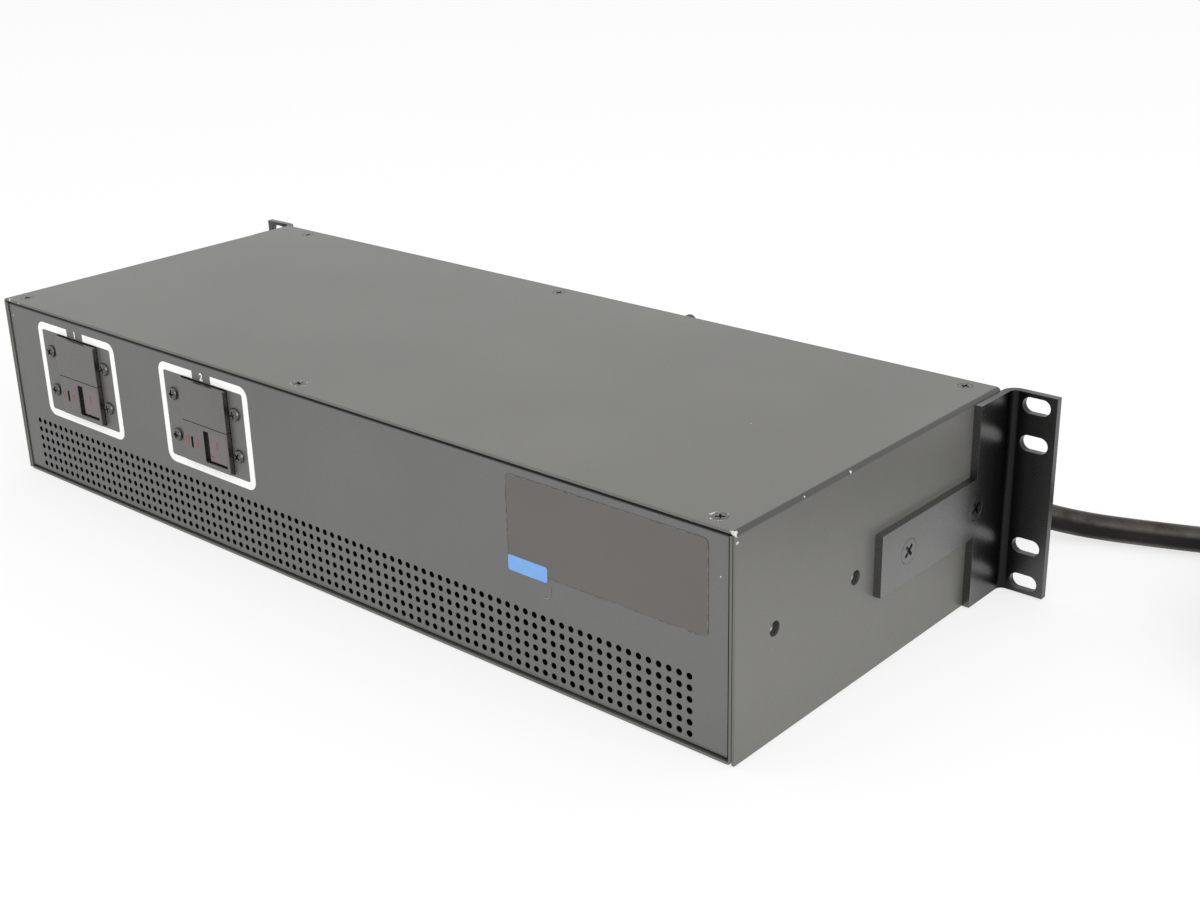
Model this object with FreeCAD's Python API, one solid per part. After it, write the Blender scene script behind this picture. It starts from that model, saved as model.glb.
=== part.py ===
# Rack power distribution unit, two rack units high, in millimetres.
# Frame: origin at the centre of the underside, +X to the right, +Y to the back, +Z up.
import FreeCAD, Part
import math
import os

V = FreeCAD.Vector

# Driving dimensions of the case
chassis_width = 438.0
chassis_depth = 174.0
chassis_height = 88.0
sheet = 1.2
bend_radius = 1.9
bend_steps = 4
cover_lift = 0.3
shell_clearance = 0.2
panel_recess = 0.6
panel_flange = 16.0

# Flat head screws that close the case
case_head_radius = 3.0
case_shank_radius = 1.5
case_screw_end_gap = 1.35
screw_clearance = 0.15
front_screw_insets = [9.7, 11.7]
front_screw_middle = -7.0
back_screw_insets = [26.0, 12.0]
back_screw_middle = -9.5
case_screw_inset = 7.0
screw_sides = 6
nut_sides = 6
steep_limit = 0.5

# Threaded side holes and rack brackets
side_hole_radius = 2.9
side_hole_pitch = 50.0
spare_hole_y = -64.5
bracket_hole_y = 16.7
side_nut_radius = 6.0
side_nut_length = 5.0
bracket_sheet = 3.2
bracket_bend = 3.0
bracket_top_gap = 1.3
bracket_tab_front = -2.0
bracket_tab_height = 25.0
bracket_leg_front = 66.3
bracket_setback = 7.3
bracket_flange = 22.3
rack_hole_pitch = 15.875
rack_slot_edge = 8.75
rack_slot_end = 5.1
rack_slot_length = 12.0
rack_slot_width = 6.8
bracket_head_radius = 5.0
bracket_head_depth = 2.4
bracket_screw_grip = 11.0

# Ventilation field of the front panel: each hole stands for a block of the fine perforation
fine_hole_diameter = 2.4
fine_hole_pitch = 4.53
fine_rows = 6
vent_margin = 11.5
block_columns = 3
block_rows = 2
vent_centre_x = -1.9
vent_centre_z = 17.0

# Two-pole breakers
breaker_insets = [57.6, 153.7]
breaker_drop = 29.6
pole_pitch = 19.05
pole_gap = 0.15
breaker_length = 52.0
breaker_depth = 50.0
bezel_left = 14.5
bezel_right = 17.0
bezel_proud = 2.3
cutout_clearance = 0.25
breaker_screw_span = 43.2
breaker_head_radius = 3.0
breaker_head_height = 1.6
breaker_head_top = 2.2
breaker_shank_radius = 1.5
breaker_shank_length = 7.0

# Reset half-rocker
rocker_opening = 15.1
rocker_height = 13.6
rocker_clearance = 0.4
rocker_recess = 1.2
rocker_pivot_depth = 7.0
rocker_hub_radius = 4.6
rocker_heel = 1.6
rocker_trip = math.radians(14)
guard_thickness = 1.6
trunnion_radius = 1.2
trunnion_length = 1.5
trunnion_clearance = 0.1
trunnion_sides = 12
hub_sides = 20
pocket_back_room = 1.9
tool_slot_x = -8.6
tool_slot_width = 1.3
tool_slot_height = 5.3
tool_slot_depth = 6.0
terminal_length = 9.0
terminal_width = 8.0
terminal_thickness = 2.0
terminal_span = 32.0

# Outlets on the rear panel, in blocks of three columns and two rows
outlet_left_inset = 8.6
outlet_left_blocks = 3
outlet_block_gap = 0.9
outlet_columns = 3
outlet_pitch = 25.0
outlet_row_pitch = 35.0
outlet_drop = 0.5
outlet_opening_x = 20.5
outlet_opening_z = 28.5
outlet_corner = 4.5
outlet_wall = 2.4
outlet_flange = 0.9
outlet_flange_thickness = 1.5
outlet_depth = 26.0
outlet_floor = 3.0
core_groove = 2.35
core_setback = 1.5
contact_slot_x = 5.0
contact_slot_z = 2.6
contact_slot_depth = 16.0
contact_spacing = 14.0
contact_offset = 2.0
busbar_height = 4.0
busbar_thickness = 2.0

# Network card on the rear panel
card_width = 19.0
card_edge_gap = 0.8
card_thickness = 1.5
jack_pitch = 22.0
jack_rise = 1.0
jack_width = 16.0
jack_height = 13.6
jack_depth = 18.0
jack_opening_x = 11.8
jack_opening_z = 8.4
jack_opening_depth = 13.0
jack_proud = 0.6
thumbscrew_radius = 3.5
thumbscrew_head = 8.5
thumbscrew_inset = 3.6
thumbscrew_shank_radius = 1.5
thumbscrew_reach = 3.6
thumbscrew_sides = 12
card_board_depth = 30.0
board_sheet = 1.6

# Inside the case
board_x = [-70.0, 60.0]
board_y = [-28.0, 40.0]
standoff_height = 8.0
standoff_radius = 3.0
standoff_inset = 6.0
transformer_size = [44.0, 36.0, 34.0]
transformer_stack = 18.0
transformer_limb = 22.0
transformer_yoke = 5.7
transformer_at = [10.0, 4.0]
transformer_flange = 6.0
transformer_foot = 2.0
sensor_radius = 13.0
sensor_bore = 6.0
sensor_thickness = 10.0
sensor_foot = 3.0
sensor_foot_width = 13.0
sensor_sides = 12
sensor_xs = [-50.0, -25.0]
sensor_y = 10.0
input_block_inset = 51.4
input_block_y = 30.0
block_length = 56.0
block_width = 30.0
block_height = 14.0
block_poles = 3
block_rib = 3.0
block_rib_height = 10.0
stud_inset = 16.4
stud_y = -10.0
stud_radius = 3.0
stud_height = 18.0
stud_nut_radius = 5.8
stud_nut_height = 5.0

# Supply cord with its bushing and plug
cord_diameter = 11.25
cord_clearance = 0.2
cord_sides = 10
arc_share = 0.45
cord_overlap = 6.0
bushing_inset = 38.0
bushing_z = 30.0
bushing_inside = 9.0
bushing_outside = 15.6
bushing_root_radius = 11.0
bushing_tip_radius = 7.6
bushing_collar_radius = 14.0
bushing_collar = 3.0
bushing_nut_radius = 14.5
bushing_nut = 4.0
bushing_sides = 16
floor_z = cord_diameter / 2
coil_right = 200.0
coil_back = 48.6
coil_outer_turn = 73.0
coil_layers = 3
coil_sides = 32
tie_width = 14.0
tie_thickness = 1.2
tie_angle = 200.0
plug_right = 75.0
plug_radius = 22.5
plug_length = 48.0
plug_cap_length = 34.0
plug_neck_radius = 10.5
plug_front = 63.0
plug_waist = 1.5
plug_sides = 16
blade_ring_radius = 14.0
blade_length = 18.0
blade_width = 9.0
blade_thickness = 1.8
blade_hook_width = 2.25
blade_hook_length = 8.1
blade_count = 3

# Places that follow from the driving dimensions
half_width = chassis_width / 2
half_depth = chassis_depth / 2
cover_under = chassis_height - sheet
tray_width = chassis_width - 2 * (sheet + shell_clearance)
tray_inside = tray_width / 2 - sheet
bend_inside = bend_radius - sheet
panel_width = 2 * (tray_inside - bend_inside)
fine_columns = int((panel_width - 2 * vent_margin) / fine_hole_pitch)
panel_height = cover_under - sheet
panel_middle_z = sheet + panel_height / 2
panel_front = -half_depth + panel_recess
panel_front_back = panel_front + sheet
rear_face = half_depth - panel_recess
rear_inside = rear_face - sheet
breaker_centres = [-half_width + inset for inset in breaker_insets]
breaker_z = chassis_height - breaker_drop
bezel_face = panel_front - bezel_proud
pole_height = pole_pitch - pole_gap
rocker_pivot_y = bezel_face + rocker_pivot_depth
rocker_opening_height = rocker_height + 2 * rocker_clearance
rocker_front = rocker_pivot_depth - rocker_recess
rocker_nose = (rocker_front * math.sin(rocker_trip) + rocker_clearance) / math.cos(rocker_trip)
trunnion_bore = (trunnion_radius + trunnion_clearance) / math.cos(math.pi / trunnion_sides)
side_passage = (side_hole_radius + screw_clearance) / math.cos(math.pi / screw_sides)
side_hole_z = chassis_height / 2
bracket_bottom = cover_lift
bracket_height = chassis_height - bracket_top_gap - bracket_bottom
bracket_middle_z = bracket_bottom + bracket_height / 2
rack_width = chassis_width + 2 * bracket_flange
rack_slot_x = rack_width / 2 - rack_slot_edge
rack_slot_outer = bracket_height - 2 * rack_slot_end
rack_slot_inner = rack_slot_outer - 2 * rack_hole_pitch
bracket_back = half_depth + bracket_setback
outlet_middle_z = panel_middle_z - outlet_drop
outlet_rows_z = [outlet_middle_z - outlet_row_pitch / 2, outlet_middle_z + outlet_row_pitch / 2]
housing_x = (outlet_columns - 1) * outlet_pitch + outlet_opening_x + 2 * outlet_wall
housing_z = outlet_row_pitch + outlet_opening_z + 2 * outlet_wall
case_screw_length = outlet_middle_z - housing_z / 2 - case_screw_end_gap
block_face = housing_x + 2 * outlet_flange
block_step = block_face + outlet_block_gap
bushing_x = half_width - bushing_inset
outlet_left_end = -panel_width / 2 + outlet_left_inset + outlet_left_blocks * block_step - outlet_block_gap
card_room = bushing_x - bushing_collar_radius - outlet_left_end
card_left = outlet_left_end + (card_room - card_width - block_step) / 2
card_x = card_left + card_width / 2
card_height = panel_height - 2 * card_edge_gap
jack_zs = [panel_middle_z + jack_rise - jack_pitch / 2, panel_middle_z + jack_rise + jack_pitch / 2]
outlet_blocks = [card_left + card_width + outlet_block_gap + block_face / 2]
for step in range(outlet_left_blocks):
    outlet_blocks.append(outlet_left_end - block_face / 2 - step * block_step)
card_cut_bottom = jack_zs[0] - jack_height / 2 - cutout_clearance
card_cut_top = jack_zs[-1] + jack_height / 2 + cutout_clearance
outlet_bottom_y = rear_face - outlet_depth
outlet_floor_y = outlet_bottom_y + outlet_floor
coil_inner_turn = coil_outer_turn - cord_diameter
coil_height = coil_layers * cord_diameter
board_z = sheet + standoff_height
board_top = board_z + board_sheet
cord_radius = cord_diameter / 2

# Route of the cord, chosen by hand: out of the bushing, down to the floor and along it to the coil.
# Each place is to the right of the bushing and behind the rear face.
lead_route = [
    (0.0, -cord_overlap, bushing_z),
    (0.0, 17.6, bushing_z - 1.0),
    (7.0, 40.1, bushing_z - 8.0),
    (22.0, 58.1, 11.5),
    (44.0, 69.6, 6.2),
    (71.0, 79.8, floor_z),
    (111.0, 95.6, floor_z),
    (145.5, 107.8, floor_z),
    (178.7, 118.4, floor_z),
]
lead_points = [V(bushing_x + right, rear_face + back, z) for right, back, z in lead_route]
coil_centre = V(bushing_x + coil_right, rear_face + coil_back, 0)
plug_x = coil_centre.x + plug_right
plug_cap_end_y = coil_centre.y - plug_front
# From the top of the coil down to the back of the plug, to the right of the coil's centre and in front of it
tail_route = [
    (coil_outer_turn, 0.0, coil_height - cord_radius),
    (coil_outer_turn + 0.6, 23.0, 26.0),
    (plug_right, 46.0, 22.9),
    (plug_right, plug_front + cord_overlap, plug_radius),
]
tail_points = [coil_centre + V(right, -front, z) for right, front, z in tail_route]


def box(x0, x1, y0, y1, z0, z1):
    return Part.makeBox(x1 - x0, y1 - y0, z1 - z0, V(x0, y0, z0))


def centred_box(centre, size):
    corner = V(centre[0] - size[0] / 2, centre[1] - size[1] / 2, centre[2] - size[2] / 2)
    return Part.makeBox(size[0], size[1], size[2], corner)


def flat_face(points):
    return Part.Face(Part.makePolygon(points + [points[0]]))


def extruded(points, direction):
    return flat_face(points).extrude(direction)


def across_axes(direction):
    along = V(direction).normalize()
    guide = V(0, 0, 1) if abs(along.z) < steep_limit else V(1, 0, 0)
    second = along.cross(guide).normalize()
    return second.cross(along), second


def ring_points(centre, direction, radius, sides):
    first, second = across_axes(direction)
    points = []
    for step in range(sides):
        angle = 2 * math.pi * (step + 0.5) / sides
        points.append(centre + first * (radius * math.cos(angle)) + second * (radius * math.sin(angle)))
    return points


def bar(centre, direction, radius, sides):
    return extruded(ring_points(centre, direction, radius, sides), direction)


def taper(centre, direction, start_radius, end_radius, sides):
    low = ring_points(centre, direction, start_radius, sides)
    high = ring_points(centre + direction, direction, end_radius, sides)
    faces = [flat_face(low), flat_face(high)]
    for step in range(sides):
        faces.append(flat_face([low[step - 1], low[step], high[step], high[step - 1]]))
    solid = Part.Solid(Part.Shell(faces))
    return solid if solid.Volume > 0 else solid.reversed()


def hole(centre, direction, radius):
    return Part.makeCylinder(radius, direction.Length, centre, direction)


# Quarter bend from one direction to another, as a row of points
def bend(centre, start, end, radius):
    points = []
    for step in range(bend_steps + 1):
        angle = math.pi / 2 * step / bend_steps
        points.append(centre + start * (radius * math.cos(angle)) + end * (radius * math.sin(angle)))
    return points


# Folded channel: a flat web with a leg bent up along each edge, run out along its length
def folded_channel(origin, across, inward, run, width, leg, thickness, radius):
    left = origin - across * (width / 2 - radius) + inward * radius
    right = origin + across * (width / 2 - radius) + inward * radius
    drop = inward * (leg - radius)
    lines = []
    for reach in (radius, radius - thickness):
        first = bend(left, -across, -inward, reach)
        second = bend(right, -inward, across, reach)
        lines.append([first[0] + drop] + first + second + [second[-1] + drop])
    outside, inside = lines
    return extruded(outside + inside[::-1], run)


def spare_hole_ys():
    return [spare_hole_y, spare_hole_y + side_hole_pitch]


def bracket_hole_ys():
    return [bracket_hole_y, bracket_hole_y + side_hole_pitch]


def side_hole_ys():
    return spare_hole_ys() + bracket_hole_ys()


# Three screws in a row: one near each side of the case and one between
def screw_row(insets, middle, y):
    left, right = insets
    return [V(-half_width + left, y, 0), V(middle, y, 0), V(half_width - right, y, 0)]


def front_screw_places():
    return screw_row(front_screw_insets, front_screw_middle, -half_depth + case_screw_inset)


def back_screw_places():
    return screw_row(back_screw_insets, back_screw_middle, half_depth - case_screw_inset)


def case_screw_places():
    return front_screw_places() + back_screw_places()


# Holes that the case screws need in a sheet whose outer face is at the given height
def cut_case_holes(solid, face_z, inward):
    for place in case_screw_places():
        top = V(place.x, place.y, face_z)
        head = case_head_radius + screw_clearance
        shank = case_shank_radius + screw_clearance
        solid = solid.cut(taper(top, V(0, 0, inward * sheet), head, shank, screw_sides))
    return solid


def cut_flange_holes(solid, places):
    for place in places:
        low = V(place.x, place.y, 0)
        shank = case_shank_radius + screw_clearance
        solid = solid.cut(bar(low, V(0, 0, chassis_height), shank, screw_sides))
    return solid


def cut_side_holes(solid):
    for y in side_hole_ys():
        start = V(-half_width - sheet, y, side_hole_z)
        solid = solid.cut(bar(start, V(chassis_width + 2 * sheet, 0, 0), side_passage, screw_sides))
    return solid


def make_cover():
    origin = V(0, -half_depth, chassis_height)
    leg = chassis_height - cover_lift
    run = V(0, chassis_depth, 0)
    cover = folded_channel(origin, V(1, 0, 0), V(0, 0, -1), run, chassis_width, leg, sheet, bend_radius)
    cover = cut_case_holes(cover, chassis_height, -1)
    return cut_side_holes(cover)


def make_base_tray():
    origin = V(0, -half_depth, 0)
    leg = cover_under - bend_inside
    run = V(0, chassis_depth, 0)
    tray = folded_channel(origin, V(1, 0, 0), V(0, 0, 1), run, tray_width, leg, sheet, bend_radius)
    tray = cut_case_holes(tray, 0, 1)
    return cut_side_holes(tray)


# A vent has the open area and the proportions of the block of fine holes that it stands for
def vent_cutters():
    side = fine_hole_diameter * math.sqrt(math.pi) / 2
    columns = fine_columns // block_columns
    rows = fine_rows // block_rows
    cutters = []
    for row in range(rows):
        z = vent_centre_z + (row - (rows - 1) / 2) * block_rows * fine_hole_pitch
        for column in range(columns):
            x = vent_centre_x + (column - (columns - 1) / 2) * block_columns * fine_hole_pitch
            cutters.append(centred_box((x, panel_front + sheet / 2, z),
                                       (block_columns * side, sheet, block_rows * side)))
    return cutters


def breaker_screw_points():
    points = []
    for centre in breaker_centres:
        for side in (-0.5, 0.5):
            for level in (-0.5, 0.5):
                x = centre + side * breaker_screw_span
                points.append(V(x, panel_front, breaker_z + level * pole_pitch))
    return points


def make_front_panel():
    origin = V(-panel_width / 2, panel_front, panel_middle_z)
    run = V(panel_width, 0, 0)
    through = V(0, sheet, 0)
    panel = folded_channel(origin, V(0, 0, 1), V(0, 1, 0), run, panel_height, panel_flange, sheet,
                           bend_radius)
    cutters = vent_cutters()
    for centre in breaker_centres:
        high = pole_pitch + cutout_clearance
        cutters.append(box(centre - bezel_left - cutout_clearance, centre + bezel_right + cutout_clearance,
                           panel_front, panel_front_back, breaker_z - high, breaker_z + high))
    for point in breaker_screw_points():
        cutters.append(bar(point, through, breaker_shank_radius + screw_clearance, screw_sides))
    panel = panel.cut(Part.makeCompound(cutters))
    return cut_flange_holes(panel, front_screw_places())


def outlet_centres(block_x):
    centres = []
    for column in range(outlet_columns):
        x = block_x + (column - (outlet_columns - 1) / 2) * outlet_pitch
        for z in outlet_rows_z:
            centres.append(V(x, rear_face, z))
    return centres


# Outlet outline in the XZ plane: a rectangle with its two earth-side corners cut off
def outlet_outline(centre, y, width, height, corner):
    x = width / 2
    z = height / 2
    local = [(-x, -z), (x - corner, -z), (x, -z + corner), (x, z - corner), (x - corner, z), (-x, z)]
    return [V(centre.x + u, y, centre.z + w) for u, w in local]


# Rectangle of one outlet housing, grown by a margin all round
def housing_box(block_x, y0, y1, margin):
    reach_x = housing_x / 2 + margin
    reach_z = housing_z / 2 + margin
    return box(block_x - reach_x, block_x + reach_x, y0, y1, outlet_middle_z - reach_z,
               outlet_middle_z + reach_z)


def thumbscrew_points():
    reach = card_height / 2 - thumbscrew_inset
    return [V(card_x, rear_face, panel_middle_z + reach), V(card_x, rear_face, panel_middle_z - reach)]


def make_rear_panel():
    origin = V(-panel_width / 2, rear_face, panel_middle_z)
    run = V(panel_width, 0, 0)
    through = V(0, -sheet, 0)
    panel = folded_channel(origin, V(0, 0, 1), V(0, -1, 0), run, panel_height, panel_flange, sheet,
                           bend_radius)
    cutters = []
    for block_x in outlet_blocks:
        cutters.append(housing_box(block_x, rear_inside, rear_face, cutout_clearance))
    cutters.append(box(card_x - jack_width / 2 - cutout_clearance, card_x + jack_width / 2 + cutout_clearance,
                       rear_inside, rear_face, card_cut_bottom, card_cut_top))
    for point in thumbscrew_points():
        cutters.append(bar(point, through, thumbscrew_shank_radius + screw_clearance, screw_sides))
    entry = V(bushing_x, rear_face, bushing_z)
    cutters.append(bar(entry, through, bushing_root_radius + cutout_clearance, bushing_sides))
    panel = panel.cut(Part.makeCompound(cutters))
    return cut_flange_holes(panel, back_screw_places())


def make_case_screws(face_z, inward):
    screws = []
    for place in case_screw_places():
        top = V(place.x, place.y, face_z)
        head = taper(top, V(0, 0, inward * sheet), case_head_radius, case_shank_radius, screw_sides)
        shank = bar(top + V(0, 0, inward * sheet), V(0, 0, inward * (case_screw_length - sheet)),
                    case_shank_radius, screw_sides)
        screws.append(head.fuse(shank).removeSplitter())
    return Part.makeCompound(screws)


# The spare inserts have a round bore; the bracket screws fill the others
def make_side_nuts():
    nuts = []
    for side in (-1, 1):
        for y in side_hole_ys():
            start = V(side * tray_inside, y, side_hole_z)
            reach = V(-side * side_nut_length, 0, 0)
            body = bar(start, reach, side_nut_radius, nut_sides)
            if y in spare_hole_ys():
                bore = hole(start, reach, side_hole_radius)
            else:
                bore = bar(start, reach, side_hole_radius, screw_sides)
            nuts.append(body.cut(bore))
    return Part.makeCompound(nuts)


def bracket_slot(x, z):
    half = (rack_slot_length - rack_slot_width) / 2
    start = V(x, bracket_back - bracket_sheet, z)
    through = V(0, bracket_sheet, 0)
    middle = box(x - half, x + half, bracket_back - bracket_sheet, bracket_back,
                 z - rack_slot_width / 2, z + rack_slot_width / 2)
    ends = [hole(start + V(side * half, 0, 0), through, rack_slot_width / 2) for side in (-1, 1)]
    return middle.fuse(ends)


# Angle bracket for the right side, with a long tab forward and a slotted flange outward
def make_rack_bracket():
    inner_x = half_width
    outer_x = half_width + bracket_sheet
    front_y = bracket_back - bracket_sheet
    tip_x = rack_width / 2
    low = bracket_bottom
    corner = V(outer_x + bracket_bend, front_y - bracket_bend, low)
    inside = bend(corner, V(-1, 0, 0), V(0, 1, 0), bracket_bend)
    outside = bend(corner, V(-1, 0, 0), V(0, 1, 0), bracket_bend + bracket_sheet)
    tab = [V(inner_x, bracket_tab_front, low), V(outer_x, bracket_tab_front, low)]
    tip = [V(tip_x, front_y, low), V(tip_x, bracket_back, low)]
    bracket = extruded(tab + inside + tip + outside[::-1], V(0, 0, bracket_height))
    tab_low = side_hole_z - bracket_tab_height / 2
    tab_high = side_hole_z + bracket_tab_height / 2
    bracket = bracket.cut(box(inner_x, outer_x, bracket_tab_front, bracket_leg_front, low, tab_low))
    bracket = bracket.cut(box(inner_x, outer_x, bracket_tab_front, bracket_leg_front, tab_high,
                              low + bracket_height))
    for spacing in (rack_slot_outer, rack_slot_inner):
        for side in (-0.5, 0.5):
            bracket = bracket.cut(bracket_slot(rack_slot_x, bracket_middle_z + side * spacing))
    for y in bracket_hole_ys():
        face = V(outer_x, y, side_hole_z)
        bracket = bracket.cut(taper(face, V(-bracket_head_depth, 0, 0), bracket_head_radius + screw_clearance,
                                    side_passage, screw_sides))
        bracket = bracket.cut(bar(face, V(-bracket_sheet, 0, 0), side_passage, screw_sides))
    return bracket


def make_bracket_screws():
    screws = []
    shank_radius = side_hole_radius - screw_clearance
    for side in (-1, 1):
        for y in bracket_hole_ys():
            face = V(side * (half_width + bracket_sheet), y, side_hole_z)
            sunk = V(-side * bracket_head_depth, 0, 0)
            head = taper(face, sunk, bracket_head_radius, shank_radius, screw_sides)
            shank = bar(face + sunk, V(-side * (bracket_screw_grip - bracket_head_depth), 0, 0),
                        shank_radius, screw_sides)
            screws.append(head.fuse(shank).removeSplitter())
    return Part.makeCompound(screws)


# One pole: a body behind the panel with a narrower bezel that stands out through the cut-out
def make_pole(centre, z):
    half = pole_height / 2
    body = box(centre - breaker_length / 2, centre + breaker_length / 2, panel_front_back,
               panel_front_back + breaker_depth, z - half, z + half)
    bezel = box(centre - bezel_left, centre + bezel_right, bezel_face, panel_front_back, z - half, z + half)
    pole = body.fuse(bezel)
    for side in (-0.5, 0.5):
        start = V(centre + side * breaker_screw_span, panel_front_back, z)
        depth = V(0, breaker_shank_length, 0)
        pole = pole.cut(bar(start, depth, breaker_shank_radius + screw_clearance, screw_sides))
    return pole.removeSplitter()


def make_blank_pole(centre):
    return make_pole(centre, breaker_z + pole_pitch / 2)


# The pocket takes the half-rocker and reaches left behind the guard to clear its hub
def make_switch_pole(centre):
    z = breaker_z - pole_pitch / 2
    high = rocker_opening_height / 2
    back = rocker_pivot_y + rocker_hub_radius + pocket_back_room
    left = rocker_hub_radius + rocker_clearance
    pole = make_pole(centre, z)
    pole = pole.cut(box(centre, centre + rocker_opening, bezel_face, back, z - high, z + high))
    pole = pole.cut(box(centre - left, centre, bezel_face + guard_thickness, back, z - high, z + high))
    reach = rocker_height / 2 + trunnion_length + trunnion_clearance
    bore = bar(V(centre, rocker_pivot_y, z - reach), V(0, 0, 2 * reach), trunnion_bore, trunnion_sides)
    pole = pole.cut(bore)
    slot = box(centre + tool_slot_x - tool_slot_width / 2, centre + tool_slot_x + tool_slot_width / 2,
               bezel_face, bezel_face + tool_slot_depth, z - tool_slot_height / 2, z + tool_slot_height / 2)
    return pole.cut(slot)


# Half-rocker: an arm with a flat face, a round hub at its left end and a trunnion above and below.
# The face starts far enough from the hub to swing past the guard's edge
def make_reset_rocker(centre):
    z = breaker_z - pole_pitch / 2
    half = rocker_height / 2
    face_y = bezel_face + rocker_recess
    tip = rocker_opening - rocker_clearance
    hub_front = rocker_pivot_y - rocker_hub_radius
    outline = [(0, hub_front), (rocker_nose, hub_front), (rocker_nose, face_y), (tip, face_y),
               (tip, rocker_pivot_y + rocker_heel), (0, rocker_pivot_y + rocker_hub_radius)]
    arm = extruded([V(centre + x, y, z - half) for x, y in outline], V(0, 0, rocker_height))
    hub = bar(V(centre, rocker_pivot_y, z - half), V(0, 0, rocker_height), rocker_hub_radius, hub_sides)
    reach = half + trunnion_length
    pin = bar(V(centre, rocker_pivot_y, z - reach), V(0, 0, 2 * reach), trunnion_radius, trunnion_sides)
    return arm.fuse([hub, pin]).removeSplitter()


def make_breaker_screws():
    screws = []
    for point in breaker_screw_points():
        head = taper(point, V(0, -breaker_head_height, 0), breaker_head_radius, breaker_head_top, screw_sides)
        shank = bar(point, V(0, sheet + breaker_shank_length - screw_clearance, 0), breaker_shank_radius,
                    screw_sides)
        screws.append(head.fuse(shank).removeSplitter())
    return Part.makeCompound(screws)


def terminal_points():
    back = panel_front_back + breaker_depth
    points = []
    for centre in breaker_centres:
        for level in (-0.5, 0.5):
            for side in (-0.5, 0.5):
                points.append(V(centre + side * terminal_span, back, breaker_z + level * pole_pitch))
    return points


def make_breaker_terminals():
    tabs = []
    for point in terminal_points():
        middle = (point.x, point.y + terminal_length / 2, point.z)
        tabs.append(centred_box(middle, (terminal_width, terminal_length, terminal_thickness)))
    return Part.makeCompound(tabs)


# One moulded housing for each block: a flanged body with a floored opening for every outlet
def make_outlet_housing(block_x):
    front_y = rear_face + outlet_flange_thickness
    body = housing_box(block_x, outlet_bottom_y, rear_face, 0)
    flange = housing_box(block_x, rear_face, front_y, outlet_flange)
    openings = []
    for centre in outlet_centres(block_x):
        outline = outlet_outline(centre, outlet_floor_y, outlet_opening_x, outlet_opening_z, outlet_corner)
        openings.append(extruded(outline, V(0, front_y - outlet_floor_y, 0)))
    return body.fuse(flange).cut(Part.makeCompound(openings)).removeSplitter()


def contact_places(centre):
    half = contact_spacing / 2
    return [(centre.x - contact_offset, centre.z - half), (centre.x - contact_offset, centre.z + half),
            (centre.x + contact_offset, centre.z)]


def make_outlet_cores(block_x):
    cores = []
    for centre in outlet_centres(block_x):
        front_y = rear_face + outlet_flange_thickness - core_setback
        core = extruded(outlet_outline(centre, outlet_floor_y, outlet_opening_x - 2 * core_groove,
                                       outlet_opening_z - 2 * core_groove, outlet_corner - core_groove / 2),
                        V(0, front_y - outlet_floor_y, 0))
        for x, z in contact_places(centre):
            core = core.cut(box(x - contact_slot_x / 2, x + contact_slot_x / 2, front_y - contact_slot_depth,
                                front_y, z - contact_slot_z / 2, z + contact_slot_z / 2))
        cores.append(core)
    return Part.makeCompound(cores)


def make_outlet_busbars(block_x):
    bars = []
    length = (outlet_columns - 1) * outlet_pitch + outlet_opening_x / 2
    for row_z in outlet_rows_z:
        for step in (-0.5, 0, 0.5):
            middle = (block_x, outlet_bottom_y - busbar_thickness / 2, row_z + step * contact_spacing)
            bars.append(centred_box(middle, (length, busbar_thickness, busbar_height)))
    return Part.makeCompound(bars)


def make_network_faceplate():
    plate = centred_box((card_x, rear_face + card_thickness / 2, panel_middle_z),
                        (card_width, card_thickness, card_height))
    for z in jack_zs:
        plate = plate.cut(centred_box((card_x, rear_face + card_thickness / 2, z),
                                      (jack_width + 2 * cutout_clearance, card_thickness,
                                       jack_height + 2 * cutout_clearance)))
    for point in thumbscrew_points():
        plate = plate.cut(bar(point, V(0, card_thickness, 0), thumbscrew_shank_radius + screw_clearance,
                              screw_sides))
    return plate


def make_network_jacks():
    jacks = []
    mouth = rear_face + card_thickness + jack_proud
    for z in jack_zs:
        body = centred_box((card_x, mouth - jack_depth / 2, z), (jack_width, jack_depth, jack_height))
        hollow = centred_box((card_x, mouth - jack_opening_depth / 2, z),
                             (jack_opening_x, jack_opening_depth, jack_opening_z))
        jacks.append(body.cut(hollow))
    return Part.makeCompound(jacks)


def make_network_board():
    back = rear_face + card_thickness + jack_proud - jack_depth
    low = jack_zs[0] - jack_height / 2
    high = jack_zs[-1] + jack_height / 2
    return box(card_x - board_sheet / 2, card_x + board_sheet / 2, back - card_board_depth, back, low, high)


def make_thumbscrews():
    screws = []
    for point in thumbscrew_points():
        seat = point + V(0, card_thickness, 0)
        head = bar(seat, V(0, thumbscrew_head, 0), thumbscrew_radius, thumbscrew_sides)
        shank = bar(seat, V(0, -card_thickness - thumbscrew_reach, 0), thumbscrew_shank_radius, screw_sides)
        screws.append(head.fuse(shank).removeSplitter())
    return Part.makeCompound(screws)


def make_control_board():
    return box(board_x[0], board_x[1], board_y[0], board_y[1], board_z, board_top)


def make_board_standoffs():
    posts = []
    for x in (board_x[0] + standoff_inset, board_x[1] - standoff_inset):
        for y in (board_y[0] + standoff_inset, board_y[1] - standoff_inset):
            posts.append(bar(V(x, y, sheet), V(0, 0, standoff_height), standoff_radius, nut_sides))
    return Part.makeCompound(posts)


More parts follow.
